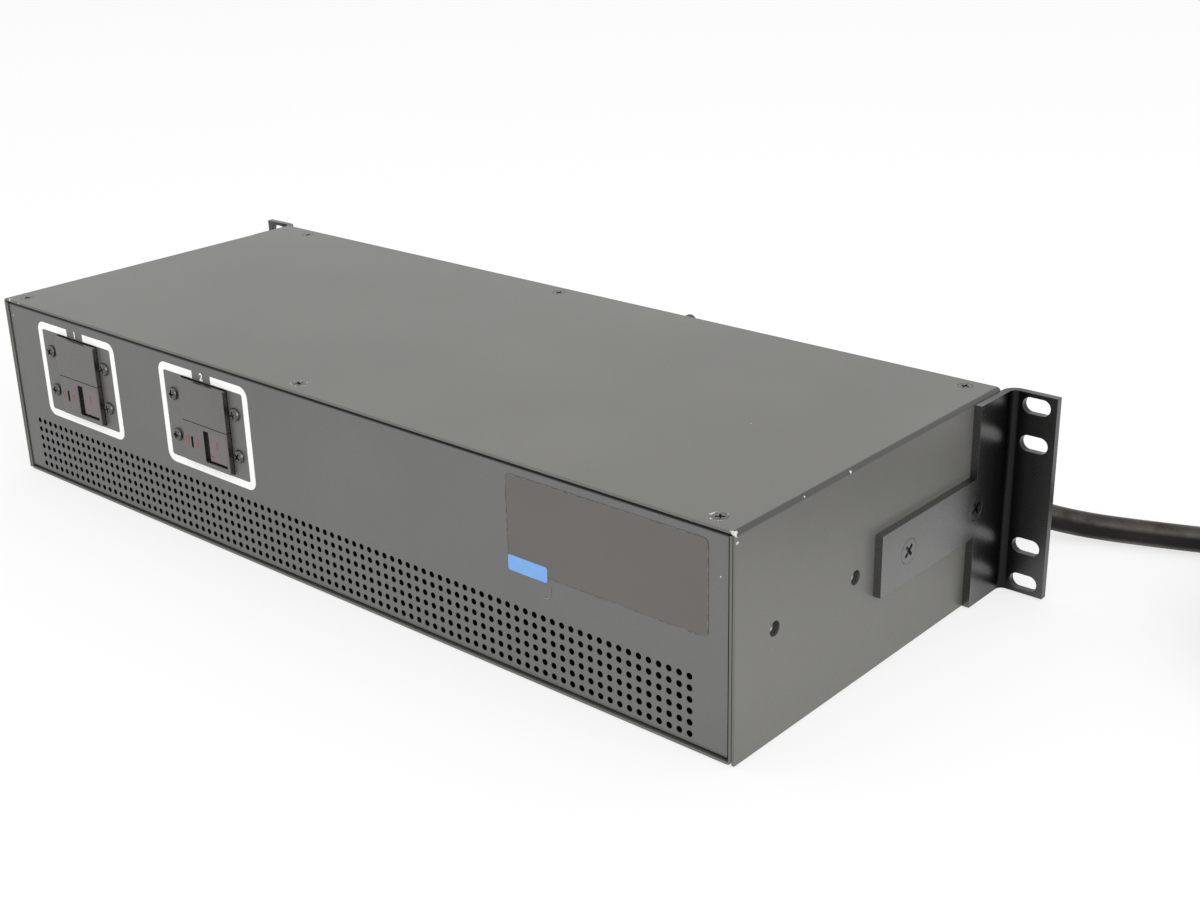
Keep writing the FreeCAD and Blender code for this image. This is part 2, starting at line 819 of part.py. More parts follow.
# Small transformer: a laminated core through a bobbin, on a flanged foot
def make_supply_transformer():
    x, y = transformer_at
    width, depth, height = transformer_size
    stack = transformer_stack / 2
    limb = transformer_limb / 2
    foot = box(x - width / 2 - transformer_flange, x + width / 2 + transformer_flange, y - stack, y + stack,
               board_top, board_top + transformer_foot)
    core = box(x - width / 2, x + width / 2, y - stack, y + stack, board_top, board_top + height)
    bobbin = box(x - limb, x + limb, y - depth / 2, y + depth / 2, board_top + transformer_yoke,
                 board_top + height - transformer_yoke)
    return foot.fuse([core, bobbin]).removeSplitter()


def make_current_sensors():
    rings = []
    for x in sensor_xs:
        start = V(x, sensor_y - sensor_thickness / 2, board_top + sensor_radius)
        through = V(0, sensor_thickness, 0)
        ring = bar(start, through, sensor_radius, sensor_sides)
        foot = box(x - sensor_foot_width / 2, x + sensor_foot_width / 2, start.y, start.y + sensor_thickness,
                   board_top, board_top + sensor_foot)
        rings.append(ring.fuse(foot).cut(bar(start, through, sensor_bore, sensor_sides)).removeSplitter())
    return Part.makeCompound(rings)


def make_input_terminal_block():
    left = tray_inside - input_block_inset - block_length / 2
    front = input_block_y - block_width / 2
    block = box(left, left + block_length, front, front + block_width, sheet, sheet + block_height)
    pitch = (block_length - block_rib) / block_poles
    for rib in range(block_poles + 1):
        x = left + rib * pitch
        block = block.fuse(box(x, x + block_rib, front, front + block_width, sheet + block_height,
                               sheet + block_height + block_rib_height))
    return block.removeSplitter()


def make_earth_stud():
    base = V(tray_inside - stud_inset, stud_y, sheet)
    post = bar(base, V(0, 0, stud_height), stud_radius, screw_sides)
    nut = bar(base, V(0, 0, stud_nut_height), stud_nut_radius, nut_sides)
    return post.fuse(nut).removeSplitter()


# Bushing: a tapered sleeve through the rear panel with a collar outside and a nut inside
def make_cord_bushing():
    face = V(bushing_x, rear_face, bushing_z)
    outward = V(0, bushing_outside, 0)
    sleeve = taper(face, outward, bushing_root_radius, bushing_tip_radius, bushing_sides)
    collar = bar(face, V(0, bushing_collar, 0), bushing_collar_radius, bushing_sides)
    inner = bar(face, V(0, -sheet - bushing_inside, 0), bushing_root_radius, bushing_sides)
    start = face - V(0, sheet + bushing_inside, 0)
    bore = bar(start, V(0, sheet + bushing_inside + bushing_outside, 0), cord_radius + cord_clearance,
               bushing_sides)
    return sleeve.fuse([collar, inner]).cut(bore).removeSplitter()


def make_bushing_nut():
    face = V(bushing_x, rear_inside, bushing_z)
    depth = V(0, -bushing_nut, 0)
    nut = bar(face, depth, bushing_nut_radius, nut_sides)
    return nut.cut(bar(face, depth, bushing_root_radius + screw_clearance, bushing_sides))


# Tube along straight runs joined by arcs as large as the runs allow
def make_cord_tube(name, points):
    edges = []
    last = points[0]
    length = 0.0
    for before, corner, after in zip(points, points[1:], points[2:]):
        arriving = (corner - before).normalize()
        leaving = (after - corner).normalize()
        turn = arriving.getAngle(leaving)
        reach = arc_share * min((corner - before).Length, (after - corner).Length)
        radius = reach / math.tan(turn / 2)
        start = corner - arriving * reach
        end = corner + leaving * reach
        inward = (leaving - arriving).normalize()
        sagitta = radius / math.cos(turn / 2) - radius
        edges.append(Part.LineSegment(last, start).toShape())
        edges.append(Part.Arc(start, corner + inward * sagitta, end).toShape())
        length += (start - last).Length + radius * turn
        last = end
        print(name, "bend radius", round(radius, 1))
    edges.append(Part.LineSegment(last, points[-1]).toShape())
    length += (points[-1] - last).Length
    ring = ring_points(points[0], points[1] - points[0], cord_radius, cord_sides)
    section = Part.makePolygon(ring + [ring[0]])
    tube = Part.Wire(edges).makePipeShell([section], True, False)
    ratio = tube.Volume / (flat_face(ring).Area * length)
    print(name, "length", round(length, 1), "volume ratio", round(ratio, 4))
    return tube


def coil_ring(outer, inner, low, high):
    base = coil_centre + V(0, 0, low)
    rise = V(0, 0, high - low)
    return bar(base, rise, outer, coil_sides).cut(bar(base, rise, inner, coil_sides))


def coil_limits():
    return coil_outer_turn + cord_radius, coil_inner_turn - cord_radius


# The tie is a strap round the bundle, and the bundle is pinched by its thickness
def make_cord_tie():
    outer, inner = coil_limits()
    strap = coil_ring(outer, inner, 0, coil_height)
    hollow = coil_ring(outer - tie_thickness, inner + tie_thickness, tie_thickness,
                       coil_height - tie_thickness)
    wedge = box(inner / 2, outer + cord_diameter, -tie_width / 2, tie_width / 2, 0, coil_height)
    wedge.rotate(V(0, 0, 0), V(0, 0, 1), tie_angle)
    wedge.translate(coil_centre)
    return strap.cut(hollow).common(wedge)


def make_cord_coil():
    outer, inner = coil_limits()
    return coil_ring(outer, inner, 0, coil_height).cut(make_cord_tie())


def make_plug_cap():
    start = V(plug_x, plug_cap_end_y, plug_radius)
    along = V(0, -plug_cap_length, 0)
    cap = taper(start, along, plug_neck_radius, plug_radius - plug_waist, plug_sides)
    return cap.cut(bar(start, along, cord_radius + cord_clearance, plug_sides))


def make_plug_body():
    start = V(plug_x, plug_cap_end_y - plug_cap_length, plug_radius)
    return bar(start, V(0, -plug_length, 0), plug_radius, plug_sides)


# Locking blades: three flat tongues on a circle, each with a hooked end
def make_plug_blades():
    face_y = plug_cap_end_y - plug_cap_length - plug_length
    axis = V(plug_x, face_y, plug_radius)
    blades = []
    for number in range(blade_count):
        blade = box(-blade_width / 2, blade_width / 2, -blade_length, 0, blade_ring_radius,
                    blade_ring_radius + blade_thickness)
        hook = box(blade_width / 2, blade_width / 2 + blade_hook_width, -blade_length,
                   -blade_length + blade_hook_length, blade_ring_radius, blade_ring_radius + blade_thickness)
        tongue = blade if number else blade.fuse(hook).removeSplitter()
        tongue.rotate(V(0, 0, 0), V(0, 1, 0), number * 360.0 / blade_count)
        tongue.translate(axis)
        blades.append(tongue)
    return Part.makeCompound(blades)


def make_nodes():
    right_bracket = make_rack_bracket()
    nodes = {
        "cover": make_cover(),
        "base_tray": make_base_tray(),
        "front_panel": make_front_panel(),
        "rear_panel": make_rear_panel(),
        "cover_screws": make_case_screws(chassis_height, -1),
        "base_screws": make_case_screws(0, 1),
        "side_nuts": make_side_nuts(),
        "rack_bracket_right": right_bracket,
        "rack_bracket_left": right_bracket.mirror(V(0, 0, 0), V(1, 0, 0)),
        "bracket_screws": make_bracket_screws(),
        "breaker_screws": make_breaker_screws(),
        "breaker_terminals": make_breaker_terminals(),
        "network_faceplate": make_network_faceplate(),
        "network_jacks": make_network_jacks(),
        "network_board": make_network_board(),
        "thumbscrews": make_thumbscrews(),
        "control_board": make_control_board(),
        "board_standoffs": make_board_standoffs(),
        "supply_transformer": make_supply_transformer(),
        "current_sensors": make_current_sensors(),
        "input_terminal_block": make_input_terminal_block(),
        "earth_stud": make_earth_stud(),
        "cord_bushing": make_cord_bushing(),
        "bushing_nut": make_bushing_nut(),
        "cord_lead": make_cord_tube("cord_lead", lead_points),
        "cord_coil": make_cord_coil(),
        "cord_tail": make_cord_tube("cord_tail", tail_points),
        "cord_tie": make_cord_tie(),
        "plug_body": make_plug_body(),
        "plug_cap": make_plug_cap(),
        "plug_blades": make_plug_blades(),
    }
    for number, centre in enumerate(breaker_centres, 1):
        nodes[f"breaker_{number}_blank_pole"] = make_blank_pole(centre)
        nodes[f"breaker_{number}_switch_pole"] = make_switch_pole(centre)
        nodes[f"reset_rocker_{number}"] = make_reset_rocker(centre)
    for number, block_x in enumerate(outlet_blocks, 1):
        nodes[f"outlet_housing_{number}"] = make_outlet_housing(block_x)
        nodes[f"outlet_cores_{number}"] = make_outlet_cores(block_x)
        nodes[f"outlet_busbars_{number}"] = make_outlet_busbars(block_x)
    return nodes


os.makedirs("parts", exist_ok=True)
for name, shape in make_nodes().items():
    shape.exportStep(f"parts/{name}.step")
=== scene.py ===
import math
import bmesh
import bpy
from mathutils import Matrix, Vector


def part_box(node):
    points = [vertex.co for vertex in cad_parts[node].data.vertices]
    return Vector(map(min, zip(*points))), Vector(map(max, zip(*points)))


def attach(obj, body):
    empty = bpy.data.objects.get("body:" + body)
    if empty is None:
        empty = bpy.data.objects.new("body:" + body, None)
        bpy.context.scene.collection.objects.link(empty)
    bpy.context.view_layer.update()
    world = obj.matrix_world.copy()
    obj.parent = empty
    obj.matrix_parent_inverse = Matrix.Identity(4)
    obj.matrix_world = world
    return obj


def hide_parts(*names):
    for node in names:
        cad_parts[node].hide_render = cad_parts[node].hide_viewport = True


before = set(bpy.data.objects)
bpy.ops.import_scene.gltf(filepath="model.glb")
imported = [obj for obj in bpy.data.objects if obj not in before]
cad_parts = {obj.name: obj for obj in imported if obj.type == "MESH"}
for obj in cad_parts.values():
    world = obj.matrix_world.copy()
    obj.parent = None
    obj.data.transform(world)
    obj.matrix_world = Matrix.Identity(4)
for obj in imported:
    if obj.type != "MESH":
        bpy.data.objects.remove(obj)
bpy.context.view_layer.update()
print("frame loaded,", len(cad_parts), "nodes")

mm = 0.001
axisX = Vector((1, 0, 0))
axisY = Vector((0, 1, 0))
axisZ = Vector((0, 0, 1))


# Small tools for meshes

def linkPiece(name, data):
    piece = bpy.data.objects.new(name, data)
    bpy.context.scene.collection.objects.link(piece)
    return piece


def fromBmesh(name, bm, turnOut=True):
    if turnOut:
        bmesh.ops.recalc_face_normals(bm, faces=bm.faces)
    mesh = bpy.data.meshes.new(name)
    bm.to_mesh(mesh)
    bm.free()
    return linkPiece(name, mesh)


def bakeShape(piece):  # modifiers, curves and letters become plain mesh
    graph = bpy.context.evaluated_depsgraph_get()
    mesh = bpy.data.meshes.new_from_object(piece.evaluated_get(graph))
    if piece.type == "MESH":
        piece.modifiers.clear()
        piece.data = mesh
        return piece
    mesh.transform(piece.matrix_world)
    name = piece.name
    bpy.data.objects.remove(piece)
    return linkPiece(name, mesh)


def carve(piece, cutter):
    cut = piece.modifiers.new("carve", "BOOLEAN")
    cut.operation = "DIFFERENCE"
    cut.solver = "EXACT"
    cut.object = cutter
    bakeShape(piece)
    bpy.data.objects.remove(cutter)
    return piece


def roundEdges(piece, width, segments=2, angle=40):
    bevel = piece.modifiers.new("edges", "BEVEL")
    bevel.width = width * mm
    bevel.segments = segments
    bevel.limit_method = "ANGLE"
    bevel.angle_limit = math.radians(angle)
    return bakeShape(piece)


def joinPieces(name, pieces):
    bm = bmesh.new()
    for piece in pieces:
        bm.from_mesh(piece.data)
        bpy.data.objects.remove(piece)
    return fromBmesh(name, bm, False)


def shadeSmooth(piece, angle=32):  # smooth, with flat faces kept flat
    mesh = piece.data
    for polygon in mesh.polygons:
        polygon.use_smooth = True
    mesh.set_sharp_from_angle(angle=math.radians(angle))
    flat = piece.modifiers.new("flat", "WEIGHTED_NORMAL")
    flat.keep_sharp = True
    bakeShape(piece)


def dress(piece, material, slotName, *nodes, body="chassis"):
    shadeSmooth(piece)
    piece.data.materials.clear()
    piece.data.materials.append(material)
    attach(piece, body)
    if nodes:
        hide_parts(*nodes)
    return piece


def addBox(bm, low, high):
    middle = (Vector(low) + Vector(high)) / 2 * mm
    size = (Vector(high) - Vector(low)) * mm
    place = Matrix.Translation(middle) @ Matrix.Diagonal((size.x, size.y, size.z, 1))
    bmesh.ops.create_cube(bm, size=1, matrix=place)


def addSpin(bm, profile, origin, axis, sides):  # profile is radius and distance along the axis
    along = Vector(axis).normalized()
    first = along.orthogonal().normalized()
    second = along.cross(first)
    rings = []
    for radius, reach in profile:
        centre = (Vector(origin) + along * reach) * mm
        ring = []
        for step in range(sides if radius > 0 else 1):
            angle = 2 * math.pi * step / sides
            out = first * math.cos(angle) + second * math.sin(angle)
            ring.append(bm.verts.new(centre + out * (radius * mm)))
        rings.append(ring)
    for low, high in zip(rings, rings[1:]):
        for step in range(sides):
            after = (step + 1) % sides
            corners = [low[step % len(low)], low[after % len(low)],
                       high[after % len(high)], high[step % len(high)]]
            unique = list(dict.fromkeys(corners))
            if len(unique) > 2:
                bm.faces.new(unique)


def boxPiece(name, low, high):
    bm = bmesh.new()
    addBox(bm, low, high)
    return fromBmesh(name, bm)


def spinPiece(name, profile, origin, axis, sides):
    bm = bmesh.new()
    addSpin(bm, profile, origin, axis, sides)
    return fromBmesh(name, bm)


def addSheet(bm, outer, inner, run, closed=False, skip=()):  # folded sheet from its two edge lines
    shift = Vector(run) * mm
    rows = []
    for line in (outer, inner):
        start = [bm.verts.new(Vector(point) * mm) for point in line]
        end = [bm.verts.new(Vector(point) * mm + shift) for point in line]
        rows.append((start, end))
    (outA, outB), (inA, inB) = rows
    count = len(outer)
    for step in range(count if closed else count - 1):
        if step in skip:
            continue
        after = (step + 1) % count
        bm.faces.new((outA[step], outA[after], outB[after], outB[step]))
        bm.faces.new((inA[after], inA[step], inB[step], inB[after]))
        bm.faces.new((outA[after], outA[step], inA[step], inA[after]))
        bm.faces.new((outB[step], outB[after], inB[after], inB[step]))
    if not closed:
        bm.faces.new((outA[0], outB[0], inB[0], inA[0]))
        bm.faces.new((outB[-1], outA[-1], inA[-1], inB[-1]))


def arcPoints(centre, first, second, radius, start, stop, steps):
    points = []
    for step in range(steps + 1):
        angle = math.radians(start + (stop - start) * step / steps)
        points.append(Vector(centre) + (first * math.cos(angle) + second * math.sin(angle)) * radius)
    return points


bendSteps = 6


def channelLines(origin, across, inward, width, leg, thickness, radius):  # two bends, web at the origin
    def side(sign, stretch):
        corner = Vector(origin) + across * (sign * (width / 2 - radius)) + inward * radius
        return arcPoints(corner, across * sign, -inward, stretch, 0, 90, bendSteps)

    lines = []
    for stretch in (radius, radius - thickness):
        left = side(-1, stretch)
        right = side(1, stretch)[::-1]
        drop = inward * (leg - radius)
        lines.append([left[0] + drop] + left + right + [right[-1] + drop])
    return lines


def roundRect(width, height, radius, centre=(0, 0), steps=5):
    points = []
    for signX, signY, start in ((1, 1, 0), (-1, 1, 90), (-1, -1, 180), (1, -1, 270)):
        for step in range(steps + 1):
            angle = math.radians(start + 90 * step / steps)
            points.append((centre[0] + signX * (width / 2 - radius) + radius * math.cos(angle),
                           centre[1] + signY * (height / 2 - radius) + radius * math.sin(angle)))
    return points


def rect(width, height, centre=(0, 0)):
    x, y = centre
    return [(x - width / 2, y - height / 2), (x + width / 2, y - height / 2),
            (x + width / 2, y + height / 2), (x - width / 2, y + height / 2)]


def circle(radius, centre, sides):
    turns = [2 * math.pi * step / sides for step in range(sides)]
    return [(centre[0] + radius * math.cos(turn), centre[1] + radius * math.sin(turn)) for turn in turns]


def stoodUp(x, y, z):  # place of a drawing that stands and faces the front
    place = Matrix((axisX, axisZ, -axisY)).transposed().to_4x4()
    place.translation = Vector((x, y, z)) * mm
    return place


weldGap = 1e-7


# Upright plate with holes: outlines are X and Z in millimetres, and middleY is its middle plane
def plate(name, outline, holes, thickness, edge, middleY):
    curve = bpy.data.curves.new(name, "CURVE")
    curve.dimensions = "2D"
    curve.fill_mode = "BOTH"
    curve.extrude = (thickness / 2 - edge) * mm
    curve.bevel_depth = edge * mm
    curve.bevel_resolution = 1
    curve.offset = -edge * mm
    for loop in [outline] + [hole[::-1] for hole in holes]:
        spline = curve.splines.new("POLY")
        spline.points.add(len(loop) - 1)
        for point, (x, y) in zip(spline.points, loop):
            point.co = (x * mm, y * mm, 0, 1)
        spline.use_cyclic_u = True
    piece = linkPiece(name, curve)
    piece.matrix_world = stoodUp(0, middleY, 0)
    piece = bakeShape(piece)
    weld = bmesh.new()
    weld.from_mesh(piece.data)
    bmesh.ops.remove_doubles(weld, verts=weld.verts, dist=weldGap)
    weld.to_mesh(piece.data)
    weld.free()
    return piece


# Small tools for finishes

def setInputs(node, values):
    for name, value in values.items():
        node.inputs[name].default_value = value


def feed(tree, socket, value):  # a number, a colour or what another node gives
    if isinstance(value, tuple):
        socket.default_value = (*value, 1)
    elif isinstance(value, (int, float)):
        socket.default_value = value
    else:
        tree.links.new(value, socket)


def startMaterial(name, roughness, metallic=0.0, specular=0.5):
    material = bpy.data.materials.new(name)
    material.use_nodes = True
    shader = material.node_tree.nodes["Principled BSDF"]
    setInputs(shader, {"Roughness": roughness, "Metallic": metallic, "Specular IOR Level": specular})
    return material, material.node_tree, shader


def objectPlace(tree):
    place = tree.nodes.get("Texture Coordinate") or tree.nodes.new("ShaderNodeTexCoord")
    return place.outputs["Object"]


def splitAxes(tree, source):
    split = tree.nodes.new("ShaderNodeSeparateXYZ")
    tree.links.new(source, split.inputs["Vector"])
    return split.outputs


def addNoise(tree, scale, detail=3.0, roughness=0.55):
    noise = tree.nodes.new("ShaderNodeTexNoise")
    setInputs(noise, {"Scale": scale, "Detail": detail, "Roughness": roughness})
    tree.links.new(objectPlace(tree), noise.inputs["Vector"])
    return noise.outputs["Fac"]


def addRamp(tree, source, low, high, start=0.0, stop=1.0):
    ramp = tree.nodes.new("ShaderNodeValToRGB")
    for element, position, colour in zip(ramp.color_ramp.elements, (start, stop), (low, high)):
        element.position = position
        element.color = (*colour, 1)
    tree.links.new(source, ramp.inputs["Fac"])
    return ramp.outputs["Color"]


def addRange(tree, source, low, high, start=0.0, stop=1.0):
    span = tree.nodes.new("ShaderNodeMapRange")
    setInputs(span, {"From Min": start, "From Max": stop, "To Min": low, "To Max": high})
    tree.links.new(source, span.inputs["Value"])
    return span.outputs["Result"]


def addMath(tree, operation, first, second):
    node = tree.nodes.new("ShaderNodeMath")
    node.operation = operation
    feed(tree, node.inputs[0], first)
    feed(tree, node.inputs[1], second)
    return node.outputs[0]


def addMix(tree, factor, first, second):
    mix = tree.nodes.new("ShaderNodeMix")
    mix.data_type = "RGBA"
    tree.links.new(factor, mix.inputs["Factor"])
    feed(tree, mix.inputs[6], first)  # colour sockets A and B
    feed(tree, mix.inputs[7], second)
    return mix.outputs[2]


def addBump(tree, shader, height, strength, distance):
    bump = tree.nodes.new("ShaderNodeBump")
    setInputs(bump, {"Strength": strength, "Distance": distance * mm})
    tree.links.new(height, bump.inputs["Height"])
    tree.links.new(bump.outputs["Normal"], shader.inputs["Normal"])


def normalPart(tree, axis):  # how far a face looks along an axis, either way
    geometry = tree.nodes.new("ShaderNodeNewGeometry")
    return addMath(tree, "ABSOLUTE", splitAxes(tree, geometry.outputs["Normal"])[axis], 0.0)


def plainColour(material):  # a finish's nodes, its colour socket and what feeds that
    tree = material.node_tree
    socket = tree.nodes["Principled BSDF"].inputs["Base Color"]
    return tree, socket, socket.links[0].from_socket


def tint(colour, factor):
    return tuple(channel * factor for channel in colour)


# One recipe for most finishes: cloudy colour, a grain in the bump and a little change of gloss
def grainMaterial(name, colour, roughness, grain, bump, metallic=0.0, specular=0.5, cloud=9.0,
                  spread=0.12, glossSpread=0.06):
    material, tree, shader = startMaterial(name, roughness, metallic, specular)
    clouds = addRamp(tree, addNoise(tree, cloud), tint(colour, 1 - spread), tint(colour, 1 + spread),
                     0.3, 0.7)
    tree.links.new(clouds, shader.inputs["Base Color"])
    fine = addNoise(tree, grain, 2.0)
    gloss = addRange(tree, fine, roughness - glossSpread, roughness + glossSpread, 0.3, 0.7)
    tree.links.new(gloss, shader.inputs["Roughness"])
    addBump(tree, shader, fine, bump, 0.05)
    return material


paintLook = {
    "cover": (0.155, 0.154, 0.142),
    "panel": (0.155, 0.154, 0.152),
    "roughness": 0.42,
    "glossSpread": 0.05,
    "metallic": 0.6,
    "grain": 1500.0,
    "bump": 0.22,
    "bumpDepth": 0.04,
    "spread": 0.06,
    "bare": (0.62, 0.61, 0.58),
    "rubbed": (0.3, 0.3, 0.29),
    # shaded and deep are painted shade colours for the bends, the punched walls and the seam under the cover
    "shaded": (0.045, 0.045, 0.046),
    "deep": (0.004, 0.004, 0.004),
    "seam": (85.1, 85.6),
}


def darkBends(tree, colour):  # painted shade along the long bends
    lean = addMath(tree, "MULTIPLY", normalPart(tree, "X"), normalPart(tree, "Z"))
    share = addRange(tree, lean, 0.0, 0.75, 0.04, 0.3)
    return addMix(tree, share, colour, paintLook["shaded"])


def darkEdges(tree, colour):  # painted shade: near black on the punched walls of a panel and along the seam under the cover
    walls = addRange(tree, normalPart(tree, "Y"), 1.0, 0.0, 0.5, 0.9)
    low, high = paintLook["seam"]
    seam = addRange(tree, splitAxes(tree, objectPlace(tree))["Z"], 0.0, 1.0, low * mm, high * mm)
    share = addMath(tree, "MAXIMUM", walls, seam)
    return addMix(tree, share, colour, paintLook["deep"])


# Powder coat with painted shade added by the function given, and chips down to bright metal, among them rings
# round cover screws that serve as painted rim highlights
def paintMaterial(name, base, addPaintedShade, chips):
    roughness = paintLook["roughness"]
    material, tree, shader = startMaterial(name, roughness, paintLook["metallic"])
    spread = paintLook["spread"]
    colour = addRamp(tree, addNoise(tree, 7.0), tint(base, 1 - spread), tint(base, 1 + spread), 0.35, 0.65)
    dust = addRange(tree, addNoise(tree, 2600.0, 0.0), 0.0, 0.35, 0.76, 0.82)
    colour = addMix(tree, dust, colour, paintLook["rubbed"])
    colour = addPaintedShade(tree, colour)
    wander = addRange(tree, addNoise(tree, 900.0, 2.0), -0.6, 0.6, 0.2, 0.8)  # ragged rims
    for point, radius in chips:
        gap = tree.nodes.new("ShaderNodeVectorMath")
        gap.operation = "DISTANCE"
        gap.inputs[1].default_value = Vector(point) * mm
        tree.links.new(objectPlace(tree), gap.inputs[0])
        apart = addMath(tree, "DIVIDE", gap.outputs["Value"], radius * mm)
        apart = addMath(tree, "ADD", apart, wander)
        inside = addMath(tree, "LESS_THAN", apart, 0.8)
        colour = addMix(tree, inside, colour, paintLook["bare"])
    tree.links.new(colour, shader.inputs["Base Color"])
    fine = addNoise(tree, paintLook["grain"], 2.0)
    change = paintLook["glossSpread"]
    gloss = addRange(tree, fine, roughness - change, roughness + change, 0.3, 0.7)
    tree.links.new(gloss, shader.inputs["Roughness"])
    addBump(tree, shader, fine, paintLook["bump"], paintLook["bumpDepth"])
    return material


cornerShade = {
    "x": 224.0,
    "y": 91.0,
    "most": 0.85,
    "rings": [(34.0, (0.03, 0.03, 0.031)), (6.0, (0.012, 0.012, 0.012))],  # reach and colour of the painted shade
}


# Painted shade in the inner corner of each bracket: the paint fades to a darker grey there, and more in the
# bend
def dimCorner(material):
    tree, socket, colour = plainColour(material)
    place = splitAxes(tree, objectPlace(tree))
    width = addMath(tree, "ABSOLUTE", place["X"], 0.0)
    beside = addMath(tree, "SUBTRACT", width, cornerShade["x"] * mm)
    before = addMath(tree, "SUBTRACT", place["Y"], cornerShade["y"] * mm)
    spread = addMath(tree, "ADD", addMath(tree, "MULTIPLY", beside, beside),
                     addMath(tree, "MULTIPLY", before, before))
    for reach, dim in cornerShade["rings"]:
        share = addRange(tree, spread, cornerShade["most"], 0.0, 0.0, (reach * mm) ** 2)
        colour = addMix(tree, share, colour, dim)
    tree.links.new(colour, socket)
    return material


# Rubber with patches of brownish dust along its upper flanks, laid as a band that is also a painted highlight
def dustyRubber(name, colour, dust):
    material = grainMaterial(name, colour, 0.3, 420.0, 0.12, specular=0.12, cloud=40.0, spread=0.3)
    tree, socket, plain = plainColour(material)
    # the band along the upper flanks is a painted highlight as well as dust
    upward = normalPart(tree, "Z")
    rise = addRange(tree, upward, 0.0, 0.95, 0.35, 0.62)
    fall = addRange(tree, upward, 1.0, 0.4, 0.66, 0.92)
    flank = addMath(tree, "MULTIPLY", rise, fall)
    patches = addRange(tree, addNoise(tree, 60.0, 4.0), 0.15, 1.0, 0.38, 0.62)
    share = addMath(tree, "MULTIPLY", flank, patches)
    tree.links.new(addMix(tree, share, plain, dust), socket)
    return material


# Chips: place and radius; the two wide rings round cover screws are worn bare metal that also serve as painted
# rim highlights
coverChipsAndRimGlints = [
    ((218.2, -86.8, 87.4), 1.5), ((218.8, -86.2, 84.0), 0.7), ((218.8, -20.0, 87.2), 0.9),
    ((218.8, -48.0, 87.2), 0.5), ((165.0, -5.0, 88.0), 0.4), ((-214.0, -86.9, 87.6), 0.9),
    # the last two on this line are rings round cover screws: worn bare metal placed as painted rim highlights
    ((-206.0, -86.9, 87.3), 0.5), ((207.3, -80.0, 88.0), 3.75), ((-7.0, -80.0, 88.0), 3.7),
]
panelChips = [((-213.5, -86.4, 80.0), 0.5), ((212.5, -86.4, 70.0), 0.4)]
paint = paintMaterial("powderCoat", paintLook["cover"], darkBends, coverChipsAndRimGlints)
panelPaint = paintMaterial("panelCoat", paintLook["panel"], darkEdges, panelChips)
cordRubber = dustyRubber("cordRubber", (0.016, 0.0145, 0.0135), (0.125, 0.112, 0.1))

# Finishes from the one recipe: colour, roughness, grain and bump, then what differs
bracketCoat = dimCorner(grainMaterial("bracketCoat", (0.2, 0.198, 0.197), 0.28, 1400.0, 0.003,
                                      metallic=1.0, spread=0.03, glossSpread=0.01))
blackScrew = grainMaterial("blackScrew", (0.12, 0.118, 0.115), 0.26, 900.0, 0.04, metallic=1.0)
platedSteel = grainMaterial("platedSteel", (0.55, 0.54, 0.5), 0.32, 700.0, 0.15, metallic=1.0)
breakerCase = grainMaterial("breakerCase", (0.165, 0.159, 0.155), 0.27, 1300.0, 0.006,
                            metallic=0.95, spread=0.06, glossSpread=0.02)
rockerPlastic = grainMaterial("rockerPlastic", (0.185, 0.172, 0.168), 0.25, 1300.0, 0.006,
                              metallic=0.95, spread=0.06, glossSpread=0.02)
outletPlastic = grainMaterial("outletPlastic", (0.03, 0.03, 0.031), 0.4, 1200.0, 0.2)
contactMetal = grainMaterial("contactMetal", (0.72, 0.53, 0.26), 0.28, 500.0, 0.1, metallic=1.0)
circuitBoard = grainMaterial("circuitBoard", (0.02, 0.12, 0.05), 0.4, 300.0, 0.15, cloud=60.0, spread=0.3)
transformerSteel = grainMaterial("transformerSteel", (0.2, 0.19, 0.18), 0.5, 600.0, 0.3)
terminalPlastic = grainMaterial("terminalPlastic", (0.07, 0.07, 0.07), 0.5, 900.0, 0.2)
plugPlastic = grainMaterial("plugPlastic", (0.035, 0.035, 0.037), 0.45, 900.0, 0.3)
tieFabric = grainMaterial("tieFabric", (0.03, 0.03, 0.032), 0.85, 1500.0, 0.9)
whiteInk = grainMaterial("whiteInk", (0.94, 0.94, 0.93), 0.55, 1500.0, 0.1, spread=0.02)
redInk = grainMaterial("redInk", (0.28, 0.055, 0.045), 0.5, 1500.0, 0.2, cloud=400.0, spread=0.25)
labelFilm = grainMaterial("labelFilm", (0.136, 0.128, 0.12), 0.34, 2200.0, 0.06, metallic=0.6, spread=0.04)
labelEdge = grainMaterial("labelEdge", (0.11, 0.109, 0.106), 0.4, 1800.0, 0.3, cloud=500.0, spread=0.6)
blueFilm = grainMaterial("blueFilm", (0.16, 0.36, 0.72), 0.35, 2000.0, 0.1, cloud=120.0, spread=0.1)
scratchFilm = grainMaterial("scratchFilm", (0.24, 0.2, 0.2), 0.5, 1500.0, 0.1, cloud=300.0, spread=0.3)
greenLens = grainMaterial("greenLens", (0.1, 0.45, 0.12), 0.25, 800.0, 0.05)
print("finishes made")


# Camera, as the photo's
cameraPlace = {
    "location": (0.51037, -0.48177, 0.31297),
    "right": (0.75504, 0.65531, -0.02192),
    "up": (-0.22796, 0.29370, 0.92832),
    "back": (0.61477, -0.69592, 0.37114),
    "lens": 50.275,
    "sensor": 36.0,
    "near": 0.01,
    "far": 50,
}


def setCamera():
    data = bpy.data.cameras.new("camera")
    data.lens = cameraPlace["lens"]
    data.sensor_width = cameraPlace["sensor"]
    data.sensor_fit = "HORIZONTAL"
    data.clip_start = cameraPlace["near"]
    data.clip_end = cameraPlace["far"]
    camera = linkPiece("camera", data)
    axes = Matrix([cameraPlace[name] for name in ("right", "up", "back")]).transposed().to_4x4()
    axes.translation = Vector(cameraPlace["location"])
    camera.matrix_world = axes
    bpy.context.scene.camera = camera


setCamera()


